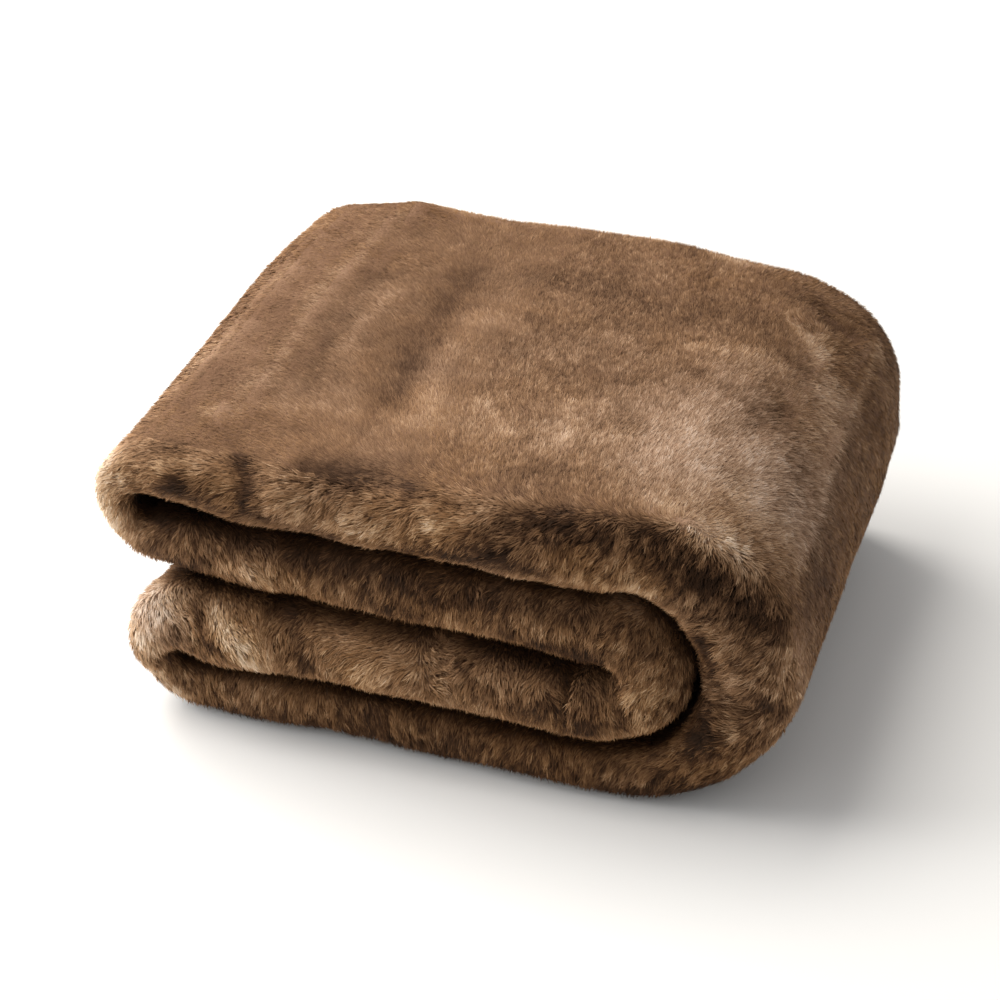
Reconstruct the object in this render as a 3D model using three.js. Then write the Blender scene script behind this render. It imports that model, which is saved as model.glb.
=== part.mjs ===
// A faux fur throw, folded and ready to lie on a shelf. The cloth is one piece.
// It is folded in four along its length into a thick strip of four plies, and the
// strip is then folded across into a pack: it starts in the middle of the pack,
// turns under at the left, runs along the base, goes up round the spine at the
// right, comes back over the top, turns in at the left again, and ends in a short
// nose that curls down to meet the strip's start.
// X runs along the front, Y to the back and Z up, in millimetres. The origin is
// under the middle of the pack, and the base lies flat at Z = 0.

import * as THREE from "three";

// The strip: its plies, pile included, and the narrow gaps between them. At the
// back, the two hemmed edges of the cloth are set in a little from the fold, all
// within the zone that the straight legs stop short of.
const PLIES = 4;
const PLY_GAP = 1;
const STRIP_DEPTH = 389;
const BACK_ZONE = 22;
const UPPER_EDGE_SETBACK = 5;
const LOWER_EDGE_SETBACK = 14;
const EDGE_BEVEL = 2;

// The pack's layers from the base up. forward is how far the front fold of each
// stands out past the spine's, and left is the X of the turn that it ends in.
const LAYER_GAP = 3;
const LAYERS = {
  base: { thick: 46, forward: 5, left: -156 },
  third: { thick: 65, forward: 19, left: -156 },
  second: { thick: 54, forward: 9, left: -173 },
  top: { thick: 55, forward: 14, left: -173 },
};
const STRIP_START = 118;
const STRIP_END = 122;
const NOSE_TURN = 138;
const SPINE_TURN = 153;
const SPINE_REACH = 81.5;

// How much thicker the strip gets on its way round the spine, and how much thinner
// where it is bent tight at the left, with the share of the turn where it does most.
const SPINE_SWELL = { by: 22, peak: 0.57 };
const UPPER_PINCH = { by: -30, peak: 0.5 };
const LOWER_PINCH = { by: -25, peak: 0.5 };
const NOSE_SWELL = { by: 0, peak: 0.5 };
const SWELL_POWER = 1.5;

// Below 1, the front folds are squarer than round, pressed by the layers over them.
const FOLD_SQUARENESS = 0.87;

// How finely the runs, turns and folds are stepped.
const RUN_STEP = 42;
const TURN_STEPS = 8;
const SPINE_STEPS = 14;
const DEPTH_STEPS = 3;
const FRONT_FOLD_STEPS = 8;
const BACK_FOLD_STEPS = 6;
const INNER_FOLD_STEPS = 4;

// Where the cloth has settled out of true: a soft push at a place, in millimetres,
// that fades over its reach. The layers keep their gaps, because all move together.
const SETTLED = [
  { at: "back left corner", x: -215, y: 392, z: 150, reach: 95, dx: 4, dy: -21, dz: -3 },
  { at: "back right corner", x: 240, y: 392, z: 120, reach: 100, dx: -2, dy: -13, dz: -3 },
  { at: "foot of the spine", x: 235, y: -10, z: 45, reach: 80, dx: -1, dy: 3, dz: 0 },
  { at: "spine, middle", x: 250, y: 215, z: 150, reach: 80, dx: -3, dy: 0, dz: 0 },
  { at: "spine, back of the upper half", x: 240, y: 340, z: 185, reach: 60, dx: 4, dy: 0, dz: 0 },
  { at: "back right corner, outermost", x: 268, y: 365, z: 120, reach: 50, dx: -5, dy: -2, dz: 0 },
  { at: "top, left of the middle", x: -80, y: 230, z: 229, reach: 110, dx: 0, dy: 0, dz: 3 },
  { at: "top, front right", x: 120, y: 90, z: 229, reach: 90, dx: 0, dy: 0, dz: 4 },
  { at: "top, back edge", x: -60, y: 385, z: 229, reach: 120, dx: 0, dy: -1, dz: -6 },
  { at: "top, back left corner", x: -205, y: 380, z: 222, reach: 55, dx: 0, dy: -6, dz: -3 },
  { at: "top, back right corner", x: 165, y: 385, z: 224, reach: 80, dx: 0, dy: -4, dz: -7 },
  { at: "end of the left ridge", x: -120, y: 375, z: 229, reach: 38, dx: 0, dy: 0, dz: 5 },
  { at: "top fold, left", x: -100, y: -10, z: 195, reach: 75, dx: 0, dy: -4, dz: -6 },
  { at: "top fold, right", x: 60, y: -10, z: 200, reach: 60, dx: 0, dy: -4, dz: 1 },
  { at: "nose and second fold, sagging", x: 135, y: 10, z: 112, reach: 85, dx: 0, dy: -2, dz: -7 },
  { at: "top fold's underside, middle", x: 10, y: -5, z: 168, reach: 65, dx: 0, dy: 0, dz: -5 },
  { at: "top fold's underside, right", x: 100, y: -5, z: 170, reach: 60, dx: 0, dy: 0, dz: -5 },
  { at: "top fold over the nose", x: 185, y: -5, z: 162, reach: 48, dx: -4, dy: 0, dz: -4 },
  { at: "third fold, left", x: -110, y: -18, z: 80, reach: 60, dx: 0, dy: -4, dz: 0 },
  { at: "base fold's foot, left", x: -66, y: 0, z: 5, reach: 45, dx: 0, dy: 4, dz: 0 },
  { at: "upper left turn, back", x: -220, y: 290, z: 170, reach: 100, dx: -6, dy: 0, dz: -3 },
  { at: "upper left turn's underside, front", x: -203, y: -12, z: 142, reach: 38, dx: 3, dy: 0, dz: 0 },
  { at: "upper left turn, front", x: -210, y: 0, z: 195, reach: 38, dx: -4, dy: 0, dz: 0 },
  { at: "top fold's underside, left end", x: -165, y: -12, z: 178, reach: 32, dx: 0, dy: 0, dz: 5 },
  { at: "second fold's underside, left end", x: -168, y: -10, z: 116, reach: 34, dx: 0, dy: 0, dz: 6 },
  { at: "lower left turn, upper corner", x: -190, y: -2, z: 104, reach: 32, dx: -7, dy: 0, dz: 3 },
  { at: "third fold's underside, left end", x: -175, y: -10, z: 48, reach: 32, dx: 0, dy: 0, dz: 3 },
  { at: "second fold's underside, right", x: 85, y: -10, z: 112, reach: 45, dx: 0, dy: 0, dz: 6 },
];

// How far back, and where along towards the spine, the front folds' overhangs fade
// out, and the height up to which the base holds back what rises or sinks.
const OVERHANG_DEPTH = 200;
const OVERHANG_FADE_FROM = 110;
const OVERHANG_FADE_TO = 240;
const LEVEL_HEIGHT = 40;

const FUR_BROWN = 0x6f513a;
const FUR_ROUGHNESS = 0.95;

const { lerp, smoothstep } = THREE.MathUtils;

// The layers' middle heights, worked out from the base up.
function middleHeights() {
  const heights = {};
  let under = 0;
  for (const [name, layer] of Object.entries(LAYERS)) {
    heights[name] = under + layer.thick / 2;
    under += layer.thick + LAYER_GAP;
  }
  return heights;
}

const MIDDLE = middleHeights();

// The numbers from 0 to 1 in even steps, both ends included.
const shares = (steps) => Array.from({ length: steps + 1 }, (_, i) => i / steps);

// A straight run of the strip's middle line, with the unit normal on the left of
// its way of going.
function run(name, fromX, toX) {
  const steps = Math.max(1, Math.round(Math.abs(toX - fromX) / RUN_STEP));
  return shares(steps).map((share) => ({
    x: lerp(fromX, toX, share),
    z: MIDDLE[name],
    normalX: 0,
    normalZ: Math.sign(toX - fromX),
    thick: LAYERS[name].thick,
  }));
}

// A half turn of the middle line from one layer up or down to another. side is -1
// at the pack's left and 1 at its right. The runs hold the turn's two end points.
function turn(fromName, toName, x, reach, side, swell, steps) {
  const middle = (MIDDLE[fromName] + MIDDLE[toName]) / 2;
  const rise = (MIDDLE[toName] - MIDDLE[fromName]) / 2;
  const lean = Math.log(0.5) / Math.log(swell.peak);
  return shares(steps)
    .slice(1, -1)
    .map((share) => {
      const angle = (share - 0.5) * Math.PI;
      const normal = new THREE.Vector2(
        -rise * Math.cos(angle),
        -side * reach * Math.sin(angle),
      ).normalize();
      return {
        x: x + side * reach * Math.cos(angle),
        z: middle + rise * Math.sin(angle),
        normalX: normal.x,
        normalZ: normal.y,
        thick:
          lerp(LAYERS[fromName].thick, LAYERS[toName].thick, share) +
          swell.by * Math.sin(share ** lean * Math.PI) ** SWELL_POWER,
      };
    });
}

// A turn whose reach is half the height between its two layers.
function roundTurn(fromName, toName, x, side, swell) {
  const reach = Math.abs(MIDDLE[toName] - MIDDLE[fromName]) / 2;
  return turn(fromName, toName, x, reach, side, swell, TURN_STEPS);
}

// The strip's middle line from its start inside the pack to the end of its nose.
function middleLine() {
  return [
    ...run("third", STRIP_START, LAYERS.third.left),
    ...roundTurn("third", "base", LAYERS.base.left, -1, LOWER_PINCH),
    ...run("base", LAYERS.base.left, SPINE_TURN),
    ...turn("base", "top", SPINE_TURN, SPINE_REACH, 1, SPINE_SWELL, SPINE_STEPS),
    ...run("top", SPINE_TURN, LAYERS.top.left),
    ...roundTurn("top", "second", LAYERS.second.left, -1, UPPER_PINCH),
    ...run("second", LAYERS.second.left, NOSE_TURN),
    ...roundTurn("second", "third", NOSE_TURN, 1, NOSE_SWELL),
    ...run("third", NOSE_TURN, STRIP_END),
  ];
}

// The strip's section across its length. One folded sheet makes it: two U folds lie
// one inside the other at the front, a fold at the back joins their lower legs, and
// their upper legs end in the cloth's two edges. It is given along the sheet from
// the upper edge, as pairs of points, one on the pile's face and one on the other,
// each point a depth from the front and a height from the strip's middle line.
function section(thick) {
  const pitch = thick / PLIES;
  const half = (pitch - PLY_GAP) / 2;
  const front = thick / 2;
  const outer = 1.5 * pitch;
  const inner = 0.5 * pitch;

  // A straight leg between the folds, in the order that the sheet runs. pileSide is
  // 1 where the pile's face is the upper one.
  const leg = (height, pileSide, forwards) => {
    const depths = shares(DEPTH_STEPS)
      .slice(1)
      .map((share) => lerp(front, STRIP_DEPTH - BACK_ZONE, share));
    return (forwards ? depths.reverse() : depths).map((depth) => [
      [depth, height + pileSide * half],
      [depth, height - pileSide * half],
    ]);
  };
  // A half round, squared a little by its power. bulge is -1 at the front and 1 at the
  // back, side is the side of its centre that it starts on, and pileOut is 1 with the
  // pile's face outside.
  const fold = (depth, height, radius, bulge, side, pileOut, power, steps) =>
    shares(steps).map((share) => {
      const [rise, fall] = [Math.sin(share * Math.PI), Math.cos(share * Math.PI)];
      const outward = [
        bulge * Math.max(rise, 0) ** power,
        side * Math.sign(fall) * Math.abs(fall) ** power,
      ];
      const at = (r) => [depth + r * outward[0], height + r * outward[1]];
      return [at(radius + pileOut * half), at(radius - pileOut * half)];
    });
  // A hemmed edge, bevelled on both faces, from its end inwards.
  const edge = (height, setback, pileSide) =>
    [
      [STRIP_DEPTH - setback, half - EDGE_BEVEL],
      [STRIP_DEPTH - setback - EDGE_BEVEL, half],
    ].map(([depth, reach]) => [
      [depth, height + pileSide * reach],
      [depth, height - pileSide * reach],
    ]);

  return [
    ...edge(outer, UPPER_EDGE_SETBACK, 1),
    ...leg(outer, 1, true),
    ...fold(front, 0, outer, -1, 1, 1, FOLD_SQUARENESS, FRONT_FOLD_STEPS),
    ...leg(-outer, -1, false),
    ...fold(STRIP_DEPTH - inner - half, -pitch, inner, 1, -1, 1, 1, BACK_FOLD_STEPS),
    ...leg(-inner, 1, true),
    ...fold(front, 0, inner, -1, -1, -1, 1, INNER_FOLD_STEPS),
    ...leg(inner, -1, false),
    ...edge(inner, LOWER_EDGE_SETBACK, -1).reverse(),
  ];
}

// How far the layer at a height stands forward of the spine, blended between the
// layers' middles.
function overhangAt(z) {
  const names = Object.keys(LAYERS);
  let forward = LAYERS.base.forward;
  for (let i = 1; i < names.length; i += 1) {
    const [lower, upper] = [names[i - 1], names[i]];
    const step = LAYERS[upper].forward - LAYERS[lower].forward;
    forward += step * smoothstep(z, MIDDLE[lower], MIDDLE[upper]);
  }
  return forward;
}

// Moves a point of the true pack to where the settled cloth has it.
function settle(point) {
  const along = 1 - smoothstep(point.x, OVERHANG_FADE_FROM, OVERHANG_FADE_TO);
  const deep = 1 - smoothstep(point.y, 0, OVERHANG_DEPTH);
  const level = smoothstep(point.z, PLY_GAP, LEVEL_HEIGHT);
  const moved = point.clone();
  moved.y -= overhangAt(point.z) * along * deep;
  for (const { x, y, z, reach, dx, dy, dz } of SETTLED) {
    const away = point.distanceTo(new THREE.Vector3(x, y, z)) / reach;
    const fade = Math.exp(-away * away);
    moved.add(new THREE.Vector3(dx, dy, dz * level).multiplyScalar(fade));
  }
  return moved;
}

// The section's closed outline, out along the pile's face and back along the other.
function outlineOf(thick) {
  const pairs = section(thick);
  return [...pairs.map((pair) => pair[0]), ...pairs.map((pair) => pair[1]).reverse()];
}

// Joins the sections along the middle line into one closed surface.
function foldedThrow() {
  const stations = middleLine();
  const positions = [];
  for (const { x, z, normalX, normalZ, thick } of stations) {
    for (const [depth, height] of outlineOf(thick)) {
      const point = new THREE.Vector3(x + normalX * height, depth, z + normalZ * height);
      positions.push(...settle(point).toArray());
    }
  }

  // Each four-sided patch is halved from its front on one section to its back on the
  // next, so that plies that face each other bend alike and keep their gap.
  const depths = outlineOf(LAYERS.base.thick).map(([depth]) => depth);
  const around = depths.length;
  const index = [];
  for (let start = 0; start < (stations.length - 1) * around; start += around) {
    for (let j = 0; j < around; j += 1) {
      const next = (j + 1) % around;
      const [a, b, c, d] = [start + j, start + next, start + around + next, start + around + j];
      if (depths[next] < depths[j]) index.push(a, b, d, b, c, d);
      else index.push(a, b, c, a, c, d);
    }
  }

  // The strip's two ends are closed from pair to pair along the sheet.
  const last = (stations.length - 1) * around;
  for (let j = 0; j + 1 < around / 2; j += 1) {
    const [a, b, c, d] = [j, j + 1, around - 2 - j, around - 1 - j];
    index.push(a, c, b, a, d, c);
    index.push(last + a, last + b, last + c, last + a, last + c, last + d);
  }

  const geometry = new THREE.BufferGeometry();
  geometry.setAttribute("position", new THREE.Float32BufferAttribute(positions, 3));
  geometry.setIndex(index);
  geometry.computeBoundingBox();
  const middle = geometry.boundingBox.getCenter(new THREE.Vector3());
  geometry.translate(-middle.x, -middle.y, -geometry.boundingBox.min.z);
  geometry.computeVertexNormals();
  return geometry;
}

const fur = new THREE.MeshStandardMaterial({
  name: "faux fur",
  color: FUR_BROWN,
  roughness: FUR_ROUGHNESS,
  metalness: 0,
});

const cloth = new THREE.Mesh(foldedThrow(), fur);
cloth.name = "throw";

const foldedPack = new THREE.Group();
foldedPack.add(cloth);

export default foldedPack;
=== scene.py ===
"""Dresses a folded faux fur throw: the folded and settled cloth, its pile and a plain studio.

Sizes are in millimetres in the object's own frame, X along the front, Y to the back and
Z up, with the origin under the middle of the pack, and become metres when a mesh is made.
"""

import logging
import math
from dataclasses import dataclass, field
from enum import Enum
from typing import Any

import bpy
import numpy as np
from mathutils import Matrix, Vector
from mathutils.bvhtree import BVHTree


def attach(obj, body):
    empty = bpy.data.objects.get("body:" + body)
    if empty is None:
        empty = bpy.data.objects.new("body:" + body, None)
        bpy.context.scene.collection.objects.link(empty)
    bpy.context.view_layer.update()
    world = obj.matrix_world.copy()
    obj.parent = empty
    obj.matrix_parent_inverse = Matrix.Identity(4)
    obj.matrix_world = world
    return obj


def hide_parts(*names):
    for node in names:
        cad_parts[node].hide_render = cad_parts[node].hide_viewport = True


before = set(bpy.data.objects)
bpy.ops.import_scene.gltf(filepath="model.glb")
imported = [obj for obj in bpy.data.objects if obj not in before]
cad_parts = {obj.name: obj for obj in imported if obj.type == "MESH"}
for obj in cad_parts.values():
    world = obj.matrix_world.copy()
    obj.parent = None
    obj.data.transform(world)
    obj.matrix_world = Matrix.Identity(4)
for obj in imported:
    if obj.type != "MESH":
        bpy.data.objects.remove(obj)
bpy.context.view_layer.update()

logging.basicConfig(level=logging.INFO, format="%(message)s")
log = logging.getLogger("throw")

Array = np.ndarray
Point = tuple[float, float, float]
Stops = tuple[tuple[float, int], ...]
Line = tuple[Point, ...]

MM = 0.001
BODY = "root"
NODE = "throw"

# The Mix node's colour sockets share their names, so they are taken by number
MIX_FIRST, MIX_SECOND, MIX_RESULT = 6, 7, 2

# Added to lattice coordinates, so that a cell's whole numbers are never below 0
LATTICE_SHIFT = 4096.0


# Small helpers

def linear(hex_colour: int) -> tuple[float, float, float, float]:
    """Turns an sRGB hex colour into linear RGBA.

    Args:
        hex_colour: The colour as 0xRRGGBB.

    Returns:
        Its linear red, green and blue, and an alpha of 1.
    """
    channels = [(hex_colour >> shift & 0xFF) / 255 for shift in (16, 8, 0)]
    out = [c / 12.92 if c <= 0.04045 else ((c + 0.055) / 1.055) ** 2.4 for c in channels]
    return (out[0], out[1], out[2], 1.0)


def add_node(
    tree: bpy.types.NodeTree,
    kind: str,
    settings: dict[str, Any] | None = None,
    inputs: dict[str, Any] | None = None,
) -> bpy.types.Node:
    """Adds a node with its settings, its constant inputs and its links.

    Args:
        tree: The node tree.
        kind: The node's type name.
        settings: Attributes of the node.
        inputs: For each input name a constant, or the output socket that feeds it.

    Returns:
        The new node.
    """
    node = tree.nodes.new(kind)
    for name, value in (settings or {}).items():
        setattr(node, name, value)
    for name, value in (inputs or {}).items():
        if isinstance(value, bpy.types.NodeSocket):
            tree.links.new(value, node.inputs[name])
        else:
            node.inputs[name].default_value = value
    return node


def set_ramp(node: bpy.types.Node, stops: Stops) -> None:
    """Sets a colour ramp's stops.

    Args:
        node: The colour ramp node.
        stops: Each stop's place from 0 to 1 and its sRGB hex colour.
    """
    elements = node.color_ramp.elements
    while len(elements) < len(stops):
        elements.new(0.5)
    for element, (place, colour) in zip(elements, stops):
        element.position = place
        element.color = linear(colour)


def smoothstep(value: Array, low: float, high: float) -> Array:
    """Goes smoothly from 0 to 1.

    Args:
        value: The values.
        low: Where it leaves 0.
        high: Where it reaches 1.

    Returns:
        A share for each value.
    """
    share = np.clip((value - low) / (high - low), 0.0, 1.0)
    return share * share * (3.0 - 2.0 * share)


def unit(vectors: Array) -> Array:
    """Scales each vector to a length of 1."""
    return vectors / np.maximum(np.linalg.norm(vectors, axis=-1, keepdims=True), 1e-9)


def lattice_random(cells: Array, salt: int) -> Array:
    """Gives each lattice cell its own three numbers from 0 to 1, the same on every run.

    Args:
        cells: Whole-number cell coordinates, three to a row.
        salt: Keeps one use of the lattice apart from another.

    Returns:
        Three numbers for each cell.
    """
    c = cells.astype(np.uint64)
    key = c[..., 0] * np.uint64(73856093) ^ c[..., 1] * np.uint64(19349663)
    key = key ^ c[..., 2] * np.uint64(83492791) ^ np.uint64(salt * 2654435761 & 0xFFFFFFFF)
    out = []
    for _ in range(3):
        key = (key ^ (key >> np.uint64(33))) * np.uint64(0xFF51AFD7ED558CCD)
        key = (key ^ (key >> np.uint64(29))) * np.uint64(0xC4CEB9FE1A85EC53)
        key = key ^ (key >> np.uint64(32))
        out.append((key & np.uint64(0xFFFFFF)).astype(float) / float(0xFFFFFF))
    return np.stack(out, axis=-1)


def soft_noise(points: Array, cell: float, salt: int) -> Array:
    """Smooth noise from -1 to 1 with three channels.

    Args:
        points: Places, in millimetres.
        cell: The size of a lattice cell, in millimetres.
        salt: Keeps one noise apart from another.

    Returns:
        Three channels for each point.
    """
    scaled = points / cell + LATTICE_SHIFT
    base = np.floor(scaled)
    part = scaled - base
    part = part * part * (3.0 - 2.0 * part)
    total = np.zeros(points.shape)
    for corner in np.ndindex(2, 2, 2):
        offset = np.array(corner)
        weight = np.prod(np.where(offset, part, 1.0 - part), axis=-1, keepdims=True)
        total += weight * lattice_random(base + offset, salt)
    return total * 2.0 - 1.0


def nearness(points: Array, line: Line, width: float) -> Array:
    """Each point's nearness to a line of straight pieces, from 1 on it to 0 far off.

    Args:
        points: Places, in millimetres.
        line: The line's corners.
        width: The distance at which it has faded to about a third.

    Returns:
        A number for each point.
    """
    nearest = np.full(len(points), np.inf)
    for start, end in zip(line, line[1:]):
        a, way = np.array(start), np.array(end) - np.array(start)
        share = np.clip((points - a) @ way / float(way @ way), 0.0, 1.0)
        nearest = np.minimum(nearest, np.linalg.norm(points - a - share[:, None] * way, axis=1))
    return np.exp(-((nearest / width) ** 2))


def mesh_object(name: str, points: Array, faces: Array, smooth: bool = True) -> bpy.types.Object:
    """Makes an object from arrays, with its place in its mesh.

    Args:
        name: The piece's name.
        points: Vertices in millimetres.
        faces: Vertex numbers, with the same number of corners in every face.
        smooth: Whether the faces are shaded smooth.

    Returns:
        The new object, linked to the scene.
    """
    count, corners = faces.shape
    mesh = bpy.data.meshes.new(name)
    mesh.vertices.add(len(points))
    mesh.vertices.foreach_set("co", (points * MM).astype(np.float32).ravel())
    mesh.loops.add(count * corners)
    mesh.loops.foreach_set("vertex_index", faces.astype(np.int32).ravel())
    mesh.polygons.add(count)
    mesh.polygons.foreach_set("loop_start", np.arange(0, count * corners, corners, dtype=np.int32))
    mesh.polygons.foreach_set("use_smooth", np.full(count, smooth))
    mesh.update(calc_edges=True)
    piece = bpy.data.objects.new(name, mesh)
    bpy.context.scene.collection.objects.link(piece)
    return piece


# Finishes

@dataclass(frozen=True)
class FurPileFinish:
    """Modacrylic fur pile, knitted in and sheared.

    Fine crimped fibres lie over each other, so the eye sees a matt brown with a soft
    sheen, darker down at the roots and paler at the tips. The brown leans to a greyish
    beige in places and to ochre in others; on the spine's shaded side the ochre is
    partly painted warm shade.
    """

    name: str = "modacrylic fur pile"
    greyish: Stops = (
        (0.0, 0x1A0F08),
        (0.25, 0x4D3524),
        (0.5, 0x8F7057),
        (0.75, 0xC6A68C),
        (1.0, 0xF1E0D1),
    )
    ochre: Stops = (
        (0.0, 0x170D04),
        (0.25, 0x4C3019),
        (0.5, 0x906740),
        (0.75, 0xC9A276),
        (1.0, 0xF1DABA),
    )
    roughness: float = 0.62
    specular: float = 0.12
    sheen: float = 0.03
    sheen_roughness: float = 0.45
    sheen_tint: int = 0xCDB49C
    map_name: str = "OFBake"

    def make(self) -> bpy.types.Material:
        """Makes the material. The map's U is a fibre's tone, and V its lean to ochre.

        Returns:
            The material.
        """
        material = bpy.data.materials.new(self.name)
        material.use_nodes = True
        tree = material.node_tree
        place = add_node(tree, "ShaderNodeUVMap", {"uv_map": self.map_name})
        split = add_node(tree, "ShaderNodeSeparateXYZ", inputs={"Vector": place.outputs["UV"]})
        colour = add_node(tree, "ShaderNodeMix", {"data_type": "RGBA"})
        tree.links.new(split.outputs["Y"], colour.inputs["Factor"])
        for stops, socket in ((self.greyish, MIX_FIRST), (self.ochre, MIX_SECOND)):
            tones = add_node(tree, "ShaderNodeValToRGB", inputs={"Fac": split.outputs["X"]})
            set_ramp(tones, stops)
            tree.links.new(tones.outputs["Color"], colour.inputs[socket])
        shader = tree.nodes["Principled BSDF"]
        tree.links.new(colour.outputs[MIX_RESULT], shader.inputs["Base Color"])
        shader.inputs["Roughness"].default_value = self.roughness
        shader.inputs["Specular IOR Level"].default_value = self.specular
        shader.inputs["Sheen Weight"].default_value = self.sheen
        shader.inputs["Sheen Roughness"].default_value = self.sheen_roughness
        shader.inputs["Sheen Tint"].default_value = linear(self.sheen_tint)
        return material


@dataclass(frozen=True)
class UnderfurFinish:
    """The dense crimped underfur on the knitted ground, seen only between the tips.

    It gives the eye a dull brown bed, a little darker than the pile over it.
    """

    name: str = "crimped modacrylic underfur"
    shades: Stops = (
        (0.0, 0x160C06),
        (0.25, 0x412C1C),
        (0.5, 0x755640),
        (0.75, 0x9C7B62),
        (1.0, 0xC3A58B),
    )
    fleck: float = 2.4
    roughness: float = 0.95
    specular: float = 0.2
    bump: float = 1.2
    shade_name: str = "shade"

    def make(self) -> bpy.types.Material:
        """Makes the material, with flecks as large as a lock of underfur.

        Returns:
            The material.
        """
        material = bpy.data.materials.new(self.name)
        material.use_nodes = True
        tree = material.node_tree
        place = add_node(tree, "ShaderNodeTexCoord")
        flecks = add_node(
            tree,
            "ShaderNodeTexNoise",
            inputs={
                "Vector": place.outputs["Object"],
                "Scale": 1.0 / (self.fleck * MM),
                "Detail": 3.0,
                "Roughness": 0.6,
            },
        )
        shade = add_node(tree, "ShaderNodeAttribute", {"attribute_name": self.shade_name})
        colour = add_node(tree, "ShaderNodeValToRGB", inputs={"Fac": shade.outputs["Fac"]})
        set_ramp(colour, self.shades)
        bump = add_node(
            tree,
            "ShaderNodeBump",
            inputs={"Distance": self.bump * MM, "Height": flecks.outputs["Fac"]},
        )
        shader = tree.nodes["Principled BSDF"]
        tree.links.new(colour.outputs["Color"], shader.inputs["Base Color"])
        tree.links.new(bump.outputs["Normal"], shader.inputs["Normal"])
        shader.inputs["Roughness"].default_value = self.roughness
        shader.inputs["Specular IOR Level"].default_value = self.specular
        return material


@dataclass(frozen=True)
class PaperFinish:
    """Seamless white studio paper: matt and even."""

    name: str = "white studio paper"
    colour: int = 0xF4F3F1
    roughness: float = 0.9
    specular: float = 0.1

    def make(self) -> bpy.types.Material:
        """Makes the material.

        Returns:
            The material.
        """
        material = bpy.data.materials.new(self.name)
        material.use_nodes = True
        shader = material.node_tree.nodes["Principled BSDF"]
        shader.inputs["Base Color"].default_value = linear(self.colour)
        shader.inputs["Roughness"].default_value = self.roughness
        shader.inputs["Specular IOR Level"].default_value = self.specular
        return material


# Lines on the pack that its groom follows, and most of them its form as well

LEFT_RIDGE = (
    (-145, 186, 226),
    (-158, 147, 227),
    (-155, 87, 228),
    (-164, 44, 228),
    (-156, -16, 229),
    (-150, -81, 228),
    (-172, -142, 226),
)
DARK_BAND = ((-69, 104, 229), (-71, 60, 229), (-70, -28, 229), (-62, -91, 228))
FRONT_HOLLOW = ((58, -192, 219), (84, -192, 218), (113, -194, 210))
CORNER_HOLLOW = (
    (141, -184, 217),
    (167, -182, 205),
    (187, -180, 190),
    (206, -176, 176),
    (219, -174, 160),
)
UNDER_TOP = (
    (-211, -174, 165),
    (-170, -182, 164),
    (-125, -187, 160),
    (-26, -188, 158),
    (70, -190, 155),
    (110, -188, 153),
)
UNDER_SECOND = ((-118, -184, 109), (-50, -184, 109), (40, -183, 107), (95, -184, 104))
SPINE_RIDGE = (
    (217, 150, 188),
    (219, 87, 186),
    (220, 36, 185),
    (222, -26, 181),
    (224, -84, 179),
    (223, -140, 176),
)


# The folded cloth

class Level(Enum):
    """The pack's four layers, from the floor up."""

    BASE = 0
    THIRD = 1
    SECOND = 2
    TOP = 3


@dataclass(frozen=True)
class Layer:
    """One layer of the strip: its thickness, how far its front stands out, its left turn."""

    thick: float
    forward: float
    left: float


@dataclass(frozen=True)
class Push:
    """A soft push of the cloth at a place, in the pack's own axes, fading over its reach."""

    at: Point
    reach: float
    move: Point


@dataclass(frozen=True)
class Crease:
    """A trough or ridge along a line on the finished pack, as wide as twice its width."""

    line: Line
    width: float
    move: Point


@dataclass(frozen=True)
class Fineness:
    """How finely the folded sheet is stepped along its runs, turns, legs and folds."""

    run_step: float = 13.0
    turn_steps: int = 18
    spine_steps: int = 30
    outer_leg_steps: int = 30
    inner_leg_steps: int = 6
    front_fold_steps: int = 18
    back_fold_steps: int = 8
    inner_fold_steps: int = 6


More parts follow.
